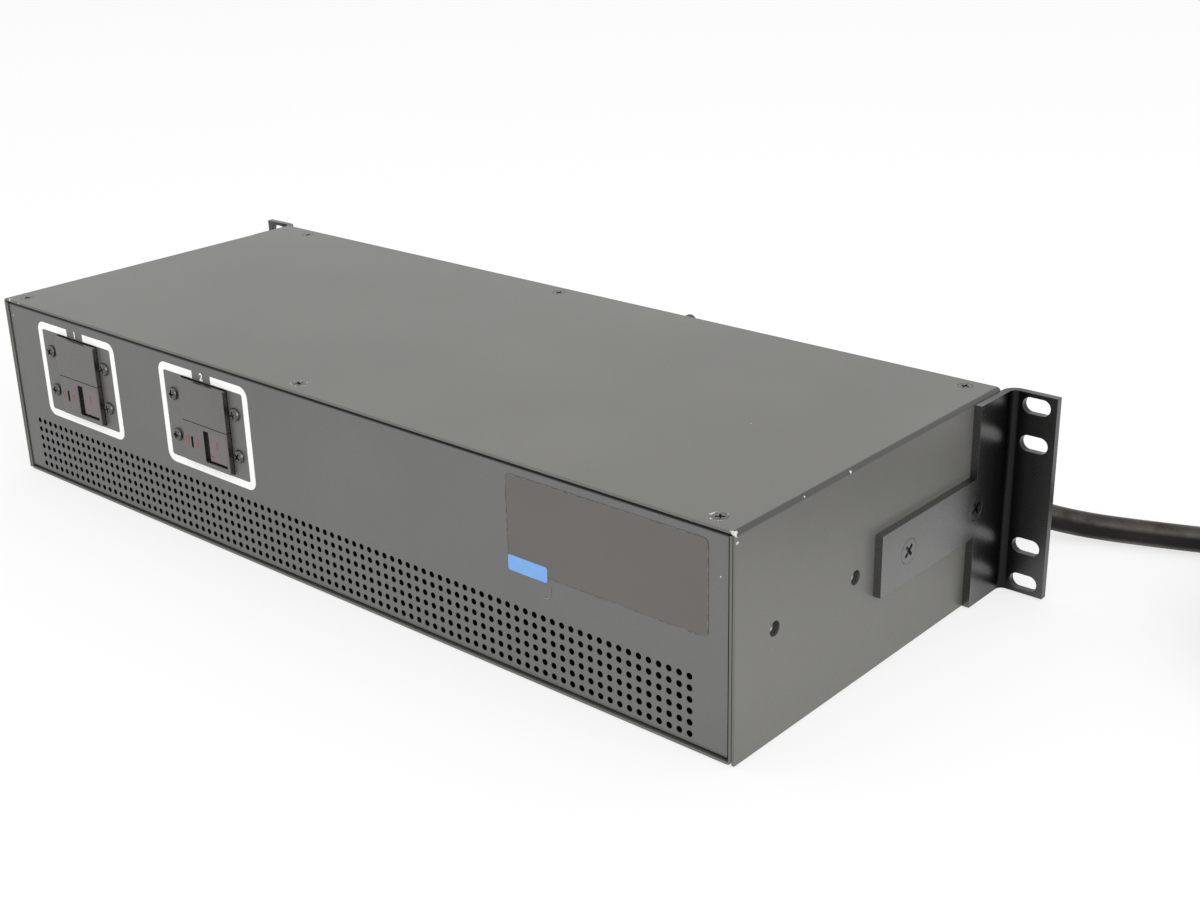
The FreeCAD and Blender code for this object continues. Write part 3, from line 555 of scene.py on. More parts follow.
# Supply cord: out of the bushing, down to the floor, along it and into a tied coil
cordSize = {
    "diameter": 11.25,
    "length": 3.05,
    "exit": (181.0, 102.0, 29.2),
    "coilCentre": (381.0, 135.0),
    "outerTurn": 73.0,
    "enter": 107.0,
    "turns": 6,
    "pointsPerTurn": 24,
    "change": 60,
    "boreGap": 0.15,
}
floorZ = cordSize["diameter"] / 2
cordBore = cordSize["diameter"] / 2 + cordSize["boreGap"]
leadPoints = [
    (181.0, 80.4, 30.0), (181.0, 104.0, 29.0), (188.0, 126.5, 22.0), (203.0, 144.5, 11.5),
    (225.0, 156.0, 6.2), (252.0, 166.2, floorZ), (292.0, 182.0, floorZ), (326.5, 194.2, floorZ),
]
tailPoints = [(454.6, 112.0, 26.0), (456.0, 89.0, 22.9), (456.0, 66.0, 22.5)]


def eased(value):
    value = min(1.0, max(0.0, value))
    return value * value * (3 - 2 * value)


# Turns run outside, inside, then up a layer, and back out; each change is spread over a sixth of a turn
def coilPoints():
    step = cordSize["diameter"]
    outer = cordSize["outerTurn"]
    inner = outer - step
    laid = [(outer, 0), (inner, 0), (inner, 1), (outer, 1), (outer, 2), (inner, 2), (outer, 2)]
    centreX, centreY = cordSize["coilCentre"]
    sweep = cordSize["turns"] * 360 + cordSize["enter"]
    count = int(sweep / 360 * cordSize["pointsPerTurn"])
    change = cordSize["change"]
    points = []
    for number in range(count + 1):
        swept = sweep * number / count
        turn = int(swept // 360)
        now = laid[min(turn, len(laid) - 1)]
        after = laid[min(turn + 1, len(laid) - 1)]
        share = eased((swept % 360 - (360 - change)) / change)
        radius = now[0] + (after[0] - now[0]) * share
        layer = now[1] + (after[1] - now[1]) * share
        angle = math.radians(cordSize["enter"] - swept)
        points.append((centreX + radius * math.cos(angle), centreY + radius * math.sin(angle),
                       floorZ + layer * step))
    return points


def cordCurve(name, points, diameter):
    curve = bpy.data.curves.new(name, "CURVE")
    curve.dimensions = "3D"
    curve.bevel_depth = diameter / 2 * mm
    curve.bevel_resolution = 6
    curve.resolution_u = 6
    curve.use_fill_caps = True
    spline = curve.splines.new("NURBS")
    spline.points.add(len(points) - 1)
    for point, place in zip(spline.points, points):
        point.co = (*(Vector(place) * mm), 1)
    spline.order_u = 3
    spline.use_endpoint_u = True
    return linkPiece(name, curve)


cord = cordCurve("supply_cord", leadPoints + coilPoints() + tailPoints, cordSize["diameter"])
cord.data.materials.append(cordRubber)
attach(cord, "chassis")
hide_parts("cord_lead", "cord_coil", "cord_tail")
print("cord laid")


# Case: cover over tray, both folded sheet
caseSize = {
    "width": 438.0,
    "depth": 174.0,
    "height": 88.0,
    "sheet": 1.2,
    "bend": 1.9,
    "edge": 0.22,
    "lift": 0.3,
    "gap": 0.2,
    "recess": 0.6,
    "flange": 16.0,
    "frontScrews": (-209.3, -7.0, 207.3),
    "backScrews": (-193.0, -9.5, 207.0),
    "screwInset": 7.0,
    "sideHoles": (-64.5, -14.5, 16.7, 66.7),
    "sideHoleZ": 44.0,
    "sideHoleRadius": 2.9,
    "headRadius": 3.0,
    "headGap": 0.18,
    "headSink": 1.1,
    "neck": 1.45,
    "neckHole": 1.7,
    "screwLength": 8,
}
halfWidth = caseSize["width"] / 2
halfDepth = caseSize["depth"] / 2
coverUnder = caseSize["height"] - caseSize["sheet"]
trayWidth = caseSize["width"] - 2 * (caseSize["sheet"] + caseSize["gap"])
bendInside = caseSize["bend"] - caseSize["sheet"]
panelWidth = trayWidth - 2 * caseSize["sheet"] - 2 * bendInside
panelHeight = coverUnder - caseSize["sheet"]
panelMiddle = caseSize["height"] / 2
panelFront = -halfDepth + caseSize["recess"]
rearFace = halfDepth - caseSize["recess"]
bracketHoles = caseSize["sideHoles"][2:]


def caseScrewPlaces():
    front = [(x, -halfDepth + caseSize["screwInset"]) for x in caseSize["frontScrews"]]
    back = [(x, halfDepth - caseSize["screwInset"]) for x in caseSize["backScrews"]]
    return front + back


def sheetCutter(faceZ, inward):  # sunk screw holes and side holes, each past both faces of the sheet
    bm = bmesh.new()
    head = caseSize["headRadius"] + caseSize["headGap"]
    neck = caseSize["neckHole"]
    profile = [(0, -1), (head, -1), (head, 0.15), (neck, caseSize["sheet"]), (neck, 2.5), (0, 2.5)]
    for x, y in caseScrewPlaces():
        addSpin(bm, profile, (x, y, faceZ), (0, 0, inward), 32)
    radius = caseSize["sideHoleRadius"]
    profile = [(0, -4), (radius, -4), (radius, 4), (0, 4)]
    for y in caseSize["sideHoles"]:
        for side in (-1, 1):
            addSpin(bm, profile, (side * halfWidth, y, caseSize["sideHoleZ"]), (1, 0, 0), 32)
    return fromBmesh("cutter", bm)


def foldedCase(name, faceZ, inward, width, leg):
    bm = bmesh.new()
    outer, inner = channelLines((0, -halfDepth, faceZ), axisX, axisZ * inward, width, leg,
                                caseSize["sheet"], caseSize["bend"])
    addSheet(bm, outer, inner, (0, caseSize["depth"], 0))
    piece = fromBmesh(name, bm)
    roundEdges(piece, caseSize["edge"])
    return carve(piece, sheetCutter(faceZ, inward))


cover = foldedCase("cover_shell", caseSize["height"], -1, caseSize["width"],
                   caseSize["height"] - caseSize["lift"])
dress(cover, paint, "powder_coat", "cover")
tray = foldedCase("tray_shell", 0, 1, trayWidth, coverUnder - bendInside)
dress(tray, paint, "powder_coat", "base_tray")
print("case folded")


# Front panel with its fine round holes, and the rear panel with its cut-outs
ventField = {
    "columns": 90,
    "rows": 6,
    "pitch": 4.53,
    "radius": 1.29,
    "sides": 14,
    "left": -203.8,
    "bottom": 5.7,
}
breakerSize = {
    "centres": (-161.4, -65.3),
    "z": 58.4,
    "polePitch": 19.05,
    "poleGap": 0.15,
    "left": 14.5,
    "right": 17.0,
    "proud": 2.3,
    "length": 52.0,
    "depth": 50.0,
    "screwSpan": 43.2,
    "opening": 15.1,
    "openingHeight": 14.4,
    "pocketLeft": 5,
    "pocketDepth": 8,
    "slotX": -8.6,
    "slotWidth": 1.3,
    "slotHeight": 5.3,
    "slotDepth": 2.5,
    "headRadius": 3.0,
    "headHeight": 1.6,
    "bezelEdge": 0.35,
    "bodyEdge": 0.5,
}
bezelFace = panelFront - breakerSize["proud"]
poleHeight = breakerSize["polePitch"] - breakerSize["poleGap"]
clearGap = 0.25
panelEdge = 0.1
smallScrewHole = 1.65


def breakerScrewPlaces():
    places = []
    for centre in breakerSize["centres"]:
        for side in (-0.5, 0.5):
            for level in (-0.5, 0.5):
                places.append((centre + side * breakerSize["screwSpan"],
                               breakerSize["z"] + level * breakerSize["polePitch"]))
    return places


def ventHoles():
    holes = []
    for row in range(ventField["rows"]):
        for column in range(ventField["columns"]):
            centre = (ventField["left"] + column * ventField["pitch"],
                      ventField["bottom"] + row * ventField["pitch"])
            holes.append(circle(ventField["radius"], centre, ventField["sides"]))
    return holes


# A panel is a flat web between two bends with flanges; inward is +1 where they run to +Y
def panelPiece(name, face, inward, holes):
    flat = panelHeight - 2 * caseSize["bend"]
    middleY = face + inward * caseSize["sheet"] / 2
    web = plate(name + "Web", rect(panelWidth, flat, (0, panelMiddle)), holes, caseSize["sheet"],
                panelEdge, middleY)
    bm = bmesh.new()
    outer, inner = channelLines((-panelWidth / 2, face, panelMiddle), axisZ, axisY * inward, panelHeight,
                                caseSize["flange"], caseSize["sheet"], caseSize["bend"])
    webStep = bendSteps + 1  # left open for the web
    addSheet(bm, outer, inner, (panelWidth, 0, 0), skip=(webStep,))
    bends = fromBmesh(name + "Bends", bm)
    return joinPieces(name, [web, bends])


def frontHoles():
    holes = ventHoles()
    for centre in breakerSize["centres"]:
        middle = centre + (breakerSize["right"] - breakerSize["left"]) / 2
        holes.append(rect(breakerSize["left"] + breakerSize["right"] + 2 * clearGap,
                          2 * breakerSize["polePitch"] + 2 * clearGap, (middle, breakerSize["z"])))
    for place in breakerScrewPlaces():
        holes.append(circle(smallScrewHole, place, 12))
    return holes


frontPanel = panelPiece("front_panel_sheet", panelFront, 1, frontHoles())
dress(frontPanel, panelPaint, "powder_coat", "front_panel")
print("front panel punched,", len(frontPanel.data.polygons), "faces")


# Outlets and network card on the back
outletSize = {
    "pitch": 25.0,
    "rows": (26.0, 61.0),
    "opening": (20.5, 28.5),
    "corner": 4.5,
    "wall": 2.4,
    "flange": 0.9,
    "flangeThick": 1.5,
    "flangeEdge": 0.35,
    "depth": 26.0,
    "floor": 3.0,
    "groove": 2.35,
    "postEdge": 0.3,
    "slot": (5.0, 2.6),
    "slotDepth": 16.0,
    "spacing": 14.0,
    "offset": 2.0,
}
cardSize = {
    "x": 57.5,
    "width": 19.0,
    "height": 84.0,
    "thick": 1.5,
    "corner": 1.2,
    "edge": 0.2,
    "jacks": (34.0, 56.0),
    "jack": (16.0, 13.6),
    "jackEdge": 0.25,
    "jackDepth": 18.0,
    "mouth": (11.8, 8.4),
    "mouthDepth": 13.0,
    "pins": 8,
    "pinPitch": 1.02,
    "lensX": 6.4,
    "proud": 0.6,
    "screwInset": 3.6,
    "screwRadius": 3.5,
    "screwHead": 8.5,
    "screwRidges": 28,
    "knurl": 0.28,
}
bushingSize = {
    "x": 181.0,
    "z": 30.0,
    "root": 11.0,
    "tip": 7.6,
    "collar": 14.0,
    "collarThick": 3.0,
    "collarEdge": 0.5,
    "inside": 9.0,
    "outside": 15.6,
    "ribs": 4,
    "ribDepth": 0.9,
}
blockNumbers = (1, 2, 3, 4)
blockHousings = [f"outlet_housing_{number}" for number in blockNumbers]


def blockMiddle(node):
    low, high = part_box(node)
    return (low.x + high.x) / 2 / mm


def outletCentres(node):
    middle = blockMiddle(node)
    return [(middle + column * outletSize["pitch"], z) for column in (-1, 0, 1) for z in outletSize["rows"]]


def outletOutline(centre, width, height, corner):  # the two corners on the earth side are cut off
    x, z = centre
    halfX = width / 2
    halfZ = height / 2
    return [(x - halfX, z - halfZ), (x + halfX - corner, z - halfZ), (x + halfX, z - halfZ + corner),
            (x + halfX, z + halfZ - corner), (x + halfX - corner, z + halfZ), (x - halfX, z + halfZ)]


def housingRect(node, margin):
    width = 2 * outletSize["pitch"] + outletSize["opening"][0] + 2 * outletSize["wall"] + 2 * margin
    low, high = outletSize["rows"]
    height = high - low + outletSize["opening"][1] + 2 * outletSize["wall"] + 2 * margin
    return rect(width, height, (blockMiddle(node), (low + high) / 2))


def cardScrewPlaces():
    reach = cardSize["height"] / 2 - cardSize["screwInset"]
    return [(cardSize["x"], panelMiddle + side * reach) for side in (-1, 1)]


def rearHoles():
    holes = [housingRect(node, clearGap) for node in blockHousings]
    low, high = cardSize["jacks"]
    width, height = cardSize["jack"]
    holes.append(rect(width + 2 * clearGap, high - low + height + 2 * clearGap,
                      (cardSize["x"], (low + high) / 2)))
    holes.append(circle(bushingSize["root"] + clearGap, (bushingSize["x"], bushingSize["z"]), 32))
    return holes


rearPanel = panelPiece("rear_panel_sheet", rearFace, -1, rearHoles())
dress(rearPanel, panelPaint, "powder_coat", "rear_panel")


def outletBlock(number, node):
    width, height = outletSize["opening"]
    corner = outletSize["corner"]
    holes = [outletOutline(centre, width, height, corner) for centre in outletCentres(node)]
    thick = outletSize["flangeThick"]
    floor = outletSize["floor"]
    deep = outletSize["depth"] - floor
    floorY = rearFace - deep
    layers = [plate("face", housingRect(node, outletSize["flange"]), holes, thick,
                    outletSize["flangeEdge"], rearFace + thick / 2),
              plate("body", housingRect(node, 0), holes, deep, 0.0, rearFace - deep / 2),
              plate("floor", housingRect(node, 0), [], floor, 0.0, floorY - floor / 2)]
    housing = joinPieces(f"outlet_block_{number}", layers)
    dress(housing, outletPlastic, "outlet_plastic", node)
    posts = []
    groove = outletSize["groove"]
    offset = outletSize["offset"]
    half = outletSize["spacing"] / 2
    slotDepth = outletSize["slotDepth"]
    rest = deep - slotDepth
    for x, z in outletCentres(node):
        slots = [rect(*outletSize["slot"], place) for place in
                 ((x - offset, z - half), (x - offset, z + half), (x + offset, z))]
        outline = outletOutline((x, z), width - 2 * groove, height - 2 * groove, corner - groove / 2)
        posts.append(plate("post", outline, slots, slotDepth, outletSize["postEdge"],
                           rearFace - slotDepth / 2))
        posts.append(plate("root", outline, [], rest, 0.0, floorY + rest / 2))
    cores = joinPieces(f"outlet_core_{number}", posts)
    dress(cores, outletPlastic, "outlet_plastic", f"outlet_cores_{number}")


for number, node in zip(blockNumbers, blockHousings):
    outletBlock(number, node)
print("outlets set")


def networkCard():
    width, height = cardSize["jack"]
    middleX = cardSize["x"]
    jackHoles = [rect(width + 2 * clearGap, height + 2 * clearGap, (middleX, z)) for z in cardSize["jacks"]]
    screwHoles = [circle(smallScrewHole, place, 12) for place in cardScrewPlaces()]
    thick = cardSize["thick"]
    outline = roundRect(cardSize["width"], cardSize["height"], cardSize["corner"], (middleX, panelMiddle))
    face = plate("network_face", outline, jackHoles + screwHoles, thick, cardSize["edge"],
                 rearFace + thick / 2)
    dress(face, panelPaint, "powder_coat", "network_faceplate")
    mouth = rearFace + thick + cardSize["proud"]
    depth = cardSize["mouthDepth"]
    rest = cardSize["jackDepth"] - depth
    shells = []
    pins = bmesh.new()
    lenses = bmesh.new()
    for z in cardSize["jacks"]:
        block = rect(width, height, (middleX, z))
        opening = rect(*cardSize["mouth"], (middleX, z))
        shells.append(plate("shell", block, [opening], depth, cardSize["jackEdge"], mouth - depth / 2))
        shells.append(plate("back", block, [], rest, 0.0, mouth - depth - rest / 2))
        floor = z - cardSize["mouth"][1] / 2
        top = z + height / 2
        for wire in range(cardSize["pins"]):
            x = middleX + (wire - (cardSize["pins"] - 1) / 2) * cardSize["pinPitch"]
            addBox(pins, (x - 0.2, mouth - depth, floor + 0.3), (x + 0.2, mouth - 2.5, floor + 1.4))
        for side in (-1, 1):
            x = middleX + side * cardSize["lensX"]
            addBox(lenses, (x - 1.2, mouth - 1.0, top - 2.2), (x + 1.2, mouth + 0.15, top - 0.7))
    dress(joinPieces("network_jack_shells", shells), platedSteel, "plated_steel", "network_jacks")
    dress(fromBmesh("network_jack_pins", pins), contactMetal, "contact_metal")
    dress(fromBmesh("network_jack_lenses", lenses), greenLens, "outlet_plastic")


networkCard()


def thumbscrewPiece():
    bm = bmesh.new()
    sides = cardSize["screwRidges"] * 2
    seat = rearFace + cardSize["thick"]
    head = cardSize["screwHead"]
    radius = cardSize["screwRadius"]
    collar = [(0, 0), (radius - 0.5, 0), (radius - 0.2, 0.4), (radius - 0.2, 1.2),
              (radius - 0.8, 1.6), (radius - 0.8, 2.0)]
    grip = [(radius - 0.8, 2.0), (radius - 0.1, 2.3), (radius - 0.1, head - 0.5), (radius - 0.7, head),
            (1.6, head), (1.5, head - 0.8), (0, head - 0.8)]
    shank = [(0, 0), (1.5, 0), (1.5, 5.0), (0, 5.0)]
    for x, z in cardScrewPlaces():
        addSpin(bm, collar, (x, seat, z), (0, 1, 0), sides)
        before = len(bm.verts)
        addSpin(bm, grip, (x, seat, z), (0, 1, 0), sides)
        centre = Vector((x, 0, z)) * mm
        for number, vert in enumerate(list(bm.verts)[before:]):
            out = Vector((vert.co.x, 0, vert.co.z)) - centre
            if out.length > (radius - 0.3) * mm and number % 2:
                vert.co -= out.normalized() * cardSize["knurl"] * mm
        addSpin(bm, shank, (x, seat, z), (0, -1, 0), 16)
    return fromBmesh("thumbscrew_pair", bm)


dress(thumbscrewPiece(), blackScrew, "black_screw", "thumbscrews")


# Screws with a cross recess, made once for each size and copied to every place
def crossScrew(headRadius, profile, reach):
    screw = spinPiece("screw", profile, (0, 0, 0), (0, 0, 1), 32)
    arm = headRadius * 0.6
    wide = headRadius * 0.15
    top = max(point[1] for point in profile)
    for halfX, halfY in ((arm, wide), (wide, arm)):
        carve(screw, boxPiece("cross", (-halfX, -halfY, top - reach), (halfX, halfY, top + reach)))
    return screw


def spreadScrews(name, template, places, aims, turnStep):
    bm = bmesh.new()
    for number, (place, aim) in enumerate(zip(places, aims)):
        mesh = template.data.copy()
        face = Vector(aim).to_track_quat("Z", "Y").to_matrix().to_4x4()
        spin = Matrix.Rotation(math.radians(turnStep * (number * 7 % 5)), 4, "Z")  # neighbours differ
        mesh.transform(Matrix.Translation(Vector(place) * mm) @ face @ spin)
        bm.from_mesh(mesh)
        bpy.data.meshes.remove(mesh)
    bpy.data.objects.remove(template)
    return fromBmesh(name, bm, False)


def flatHead(radius, neck, sink, length):
    return crossScrew(radius, [(0, -length), (neck, -length), (neck, -sink), (radius - 0.1, -0.2),
                               (radius, -0.06), (radius - 0.15, 0), (0, 0)], 1.1)


def caseScrews(name, z, aim, turnStep, node):
    screw = flatHead(caseSize["headRadius"], caseSize["neck"], caseSize["headSink"], caseSize["screwLength"])
    places = [(x, y, z) for x, y in caseScrewPlaces()]
    heads = spreadScrews(name, screw, places, [aim] * len(places), turnStep)
    dress(heads, blackScrew, "black_screw", node)


def breakerScrews():
    radius = breakerSize["headRadius"]
    rise = breakerSize["headHeight"]
    neck = caseSize["neck"]
    length = caseSize["screwLength"]
    profile = [(0, -length), (neck, -length), (neck, 0), (radius, 0), (radius, 0.35 * rise),
               (0.88 * radius, 0.72 * rise), (0.6 * radius, 0.95 * rise), (0.3 * radius, rise), (0, rise)]
    places = [(x, panelFront, z) for x, z in breakerScrewPlaces()]
    heads = spreadScrews("breaker_screw_set", crossScrew(radius, profile, 1.0), places,
                         [(0, -1, 0)] * len(places), 27)
    dress(heads, blackScrew, "black_screw", "breaker_screws")


caseScrews("cover_screw_set", caseSize["height"], (0, 0, 1), 31, "cover_screws")
caseScrews("base_screw_set", 0, (0, 0, -1), 23, "base_screws")
breakerScrews()


# Rack brackets: a tab along the side, a full-height leg and a slotted flange
bracketSize = {
    "sheet": 3.2,
    "bend": 3.0,
    "bendSteps": 10,
    "edge": 0.4,
    "bottom": 0.3,
    "height": 86.4,
    "tabFront": -2.0,
    "tabHeight": 25.0,
    "legFront": 66.3,
    "setback": 7.3,
    "tip": 241.3,
    "slotX": 232.55,
    "slots": (-38.1, -22.225, 22.225, 38.1),
    "slotLength": 12.0,
    "slotWidth": 6.8,
    "headRadius": 5.0,
    "headGap": 0.15,
    "neck": 2.7,
    "neckHole": 3.05,
    "headSink": 2.3,
    "screwLength": 11,
}
bracketFace = halfWidth + bracketSize["sheet"]


def bracketLines():
    thick = bracketSize["sheet"]
    back = halfDepth + bracketSize["setback"]
    front = back - thick
    low = bracketSize["bottom"]
    inside = bracketSize["bend"]
    centre = (bracketFace + inside, front - inside, low)
    lines = []
    for radius, legX, flangeY in ((inside + thick, halfWidth, back), (inside, bracketFace, front)):
        bend = arcPoints(centre, -axisX, axisY, radius, 0, 90, bracketSize["bendSteps"])
        lines.append([Vector((legX, bracketSize["tabFront"], low))] + bend +
                     [Vector((bracketSize["tip"], flangeY, low))])
    return lines


def bracketPiece(name, side):
    thick = bracketSize["sheet"]
    back = halfDepth + bracketSize["setback"]
    low = bracketSize["bottom"]
    middle = low + bracketSize["height"] / 2
    past = 5
    bm = bmesh.new()
    addSheet(bm, *bracketLines(), (0, 0, bracketSize["height"]))
    bracket = fromBmesh(name, bm)
    cutters = bmesh.new()
    tab = bracketSize["tabHeight"] / 2
    centreZ = caseSize["sideHoleZ"]
    for bottom, top in ((low - past, centreZ - tab), (centreZ + tab, low + bracketSize["height"] + past)):
        addBox(cutters, (halfWidth - past, bracketSize["tabFront"] - past, bottom),
               (bracketFace + past, bracketSize["legFront"], top))
    head = bracketSize["headRadius"] + bracketSize["headGap"]
    neck = bracketSize["neckHole"]
    profile = [(0, -1), (head, -1), (head, 0.1), (neck, 2.4), (neck, 6), (0, 6)]
    for y in bracketHoles:
        addSpin(cutters, profile, (bracketFace, y, centreZ), (-1, 0, 0), 40)
    carve(bracket, fromBmesh("cutter", cutters))
    slotCutters = []
    for offset in bracketSize["slots"]:
        outline = roundRect(bracketSize["slotLength"], bracketSize["slotWidth"],
                            bracketSize["slotWidth"] / 2, (bracketSize["slotX"], middle + offset), 10)
        slotCutters.append(plate("slot", outline, [], thick + 4, 0.0, back - thick / 2))
    carve(bracket, joinPieces("cutter", slotCutters))
    roundEdges(bracket, bracketSize["edge"], 3, 35)
    if side < 0:
        bracket.data.transform(Matrix.Diagonal((-1, 1, 1, 1)))
        bracket.data.flip_normals()
    return bracket


dress(bracketPiece("bracket_right", 1), bracketCoat, "powder_coat", "rack_bracket_right")
dress(bracketPiece("bracket_left", -1), bracketCoat, "powder_coat", "rack_bracket_left")


def bracketScrews():
    places = []
    aims = []
    for side in (-1, 1):
        for y in bracketHoles:
            places.append((side * bracketFace, y, caseSize["sideHoleZ"]))
            aims.append((side, 0, 0))
    screw = flatHead(bracketSize["headRadius"], bracketSize["neck"], bracketSize["headSink"],
                     bracketSize["screwLength"])
    heads = spreadScrews("bracket_screw_set", screw, places, aims, 33)
    dress(heads, bracketCoat, "powder_coat", "bracket_screws")


bracketScrews()


# Threaded inserts behind the side holes
insertSize = {"radius": 6.0, "reach": 5.0, "root": 2.85, "crest": 2.35, "pitch": 0.8, "threads": 6}


def sideInserts():
    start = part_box("side_nuts")[1].x / mm
    radius = insertSize["radius"]
    root = insertSize["root"]
    pitch = insertSize["pitch"]
    profile = [(radius, 0), (radius, insertSize["reach"])]
    for thread in range(insertSize["threads"]):
        depth = insertSize["reach"] - thread * pitch
        profile += [(root, depth), (insertSize["crest"], depth - pitch / 2)]
    profile += [(root, 0), (radius, 0)]
    bm = bmesh.new()
    for side in (-1, 1):
        for y in caseSize["sideHoles"]:
            addSpin(bm, profile, (side * start, y, caseSize["sideHoleZ"]), (-side, 0, 0), 24)
    return fromBmesh("side_insert_set", bm)


dress(sideInserts(), blackScrew, "plated_steel", "side_nuts")
print("brackets and screws fitted")


# Breakers: blank pole above, switch pole below with its guard, tool slot and half-rocker
def polePiece(number, kind, centre, level):
    z = breakerSize["z"] + level * breakerSize["polePitch"]
    half = poleHeight / 2
    back = panelFront + caseSize["sheet"]
    reach = breakerSize["length"] / 2
    past = 2
    rear = boxPiece("body", (centre - reach, back, z - half),
                    (centre + reach, back + breakerSize["depth"], z + half))
    front = boxPiece("bezel", (centre - breakerSize["left"], bezelFace, z - half),
                     (centre + breakerSize["right"], back, z + half))
    if kind == "switch":
        right = centre + breakerSize["opening"]
        high = breakerSize["openingHeight"] / 2
        slotX = centre + breakerSize["slotX"]
        slotHalf = breakerSize["slotWidth"] / 2
        slotHigh = breakerSize["slotHeight"] / 2
        carve(front, boxPiece("cutter", (centre, bezelFace - past, z - high),
                              (right, back + past, z + high)))
        carve(front, boxPiece("cutter", (slotX - slotHalf, bezelFace - past, z - slotHigh),
                              (slotX + slotHalf, bezelFace + breakerSize["slotDepth"], z + slotHigh)))
        carve(rear, boxPiece("cutter", (centre - breakerSize["pocketLeft"], back - past, z - high),
                             (right, back + breakerSize["pocketDepth"], z + high)))
    roundEdges(front, breakerSize["bezelEdge"])
    roundEdges(rear, breakerSize["bodyEdge"])
    pole = joinPieces(f"breaker_{number}_{kind}", [front, rear])
    dress(pole, breakerCase, "breaker_case", f"breaker_{number}_{kind}_pole")


rockerSize = {
    "height": 13.6,
    "gap": 0.4,
    "recess": 1.2,
    "pivot": 7.0,
    "hub": 4.6,
    "hubFrom": 20,
    "hubSteps": 8,
    "heel": 1.6,
    "nose": 1.858,
    "edge": 0.35,
    "trunnion": 1.2,
    "trunnionLength": 1.5,
}
rockerFace = bezelFace + rockerSize["recess"]


def rockerPiece(name, centre, z):
    pivot = bezelFace + rockerSize["pivot"]
    half = rockerSize["height"] / 2
    tip = breakerSize["opening"] - rockerSize["gap"]
    nose = rockerSize["nose"]
    hub = rockerSize["hub"]
    outline = [(0, pivot - hub), (nose, pivot - hub), (nose, rockerFace), (tip, rockerFace),
               (tip, pivot + rockerSize["heel"])]
    for step in range(rockerSize["hubSteps"] + 1):
        turn = (180 - rockerSize["hubFrom"]) * step / rockerSize["hubSteps"]
        angle = math.radians(rockerSize["hubFrom"] + turn)
        outline.append((hub * math.cos(angle), pivot + hub * math.sin(angle)))
    bm = bmesh.new()
    low, high = [[bm.verts.new(Vector((centre + x, y, level)) * mm) for x, y in outline]
                 for level in (z - half, z + half)]
    bm.faces.new(low)
    bm.faces.new(high)
    for step in range(len(outline)):
        bm.faces.new((low[step - 1], low[step], high[step], high[step - 1]))
    arm = roundEdges(fromBmesh("arm", bm), rockerSize["edge"], 2, 30)
    radius = rockerSize["trunnion"]
    reach = half + rockerSize["trunnionLength"]
    profile = [(0, -reach), (radius, -reach), (radius, reach), (0, reach)]
    pins = spinPiece("pins", profile, (centre, pivot, z), (0, 0, 1), 20)
    return joinPieces(name, [arm, pins])


# Red marks, placed from the breaker's centre: off ring and dash by the slot, on bar and foot on the rocker
markSize = {
    "ring": (2.6, 4.2),
    "ringHole": (1.6, 3.2),
    "ringAt": (-11.9, 0.5),
    "dash": (1.3, 2.6),
    "dashAt": (-4.7, 0.0),
    "bar": (0.9, 3.6),
    "barAt": (7.7, 1.4),
    "foot": (2.2, 0.8),
    "footAt": (3.6, -4.4),
}
printThick = 0.05


def pill(size, centre):
    return roundRect(*size, min(size) / 2 - 0.01, centre)


def breakerMarks(number, centre, z):
    def at(name):
        x, rise = markSize[name + "At"]
        return centre + x, z + rise

    face = bezelFace - printThick / 2
    marks = [plate("ring", pill(markSize["ring"], at("ring")), [pill(markSize["ringHole"], at("ring"))],
                   printThick, 0.0, face),
             plate("dash", rect(*markSize["dash"], at("dash")), [], printThick, 0.0, face)]
    dress(joinPieces(f"breaker_marks_{number}", marks), redInk, "breaker_case")
    bars = [plate(name, rect(*markSize[name], at(name)), [], printThick, 0.0, rockerFace - printThick / 2)
            for name in ("bar", "foot")]
    dress(joinPieces(f"rocker_marks_{number}", bars), redInk, "rocker_plastic", body=f"rocker_{number}")


for number, centre in enumerate(breakerSize["centres"], 1):
    polePiece(number, "blank", centre, 0.5)
    polePiece(number, "switch", centre, -0.5)
    lowZ = breakerSize["z"] - breakerSize["polePitch"] / 2
    rocker = rockerPiece(f"rocker_{number}_cap", centre, lowZ)
    dress(rocker, rockerPlastic, "rocker_plastic", f"reset_rocker_{number}", body=f"rocker_{number}")
    breakerMarks(number, centre, lowZ)
print("breakers built")


# Printing on the front panel: a white frame and a number for each breaker, and the bare label plate
printSize = {
    "frame": (62.0, 46.9),
    "line": 3.5,
    "corner": 4.7,
    "cornerSteps": 6,
    "frameZ": 58.15,
    "gap": 12.9,
    "digit": 4.6,
    "digitWeight": 0.08,
    "label": (92.6, 36.8),
    "labelAt": (161.2, 63.9),
    "labelCorner": 2.0,
    "labelEdge": 0.04,
    "labelRim": 0.35,
    "sticker": (19.5, 6.3),
    "stickerAt": (124.7, 46.7),
    "stickerCorner": 1.0,
    "stickerEdge": 0.03,
    "film": 0.12,
    "scratch": ((135.9, 43.0), (135.9, 41.0), (135.7, 39.0), (135.2, 37.9), (134.2, 37.2), (132.6, 36.9)),
    "scratchWidth": 0.22,
}


def frameOutline(centre):
    width, height = printSize["frame"]
    line = printSize["line"]
    steps = printSize["cornerSteps"]
    outer = roundRect(width, height, printSize["corner"], centre, steps)
    inner = roundRect(width - 2 * line, height - 2 * line, printSize["corner"] - line, centre, steps)
    top = centre[1] + height / 2
    left = centre[0] - printSize["gap"] / 2
    right = centre[0] + printSize["gap"] / 2
    split = steps + 1  # the corner points before it lie right of the gap
    ring = outer[split:] + outer[:split]
    hole = inner[split:] + inner[:split]
    return [(left, top)] + ring + [(right, top), (right, top - line)] + hole[::-1] + [(left, top - line)]


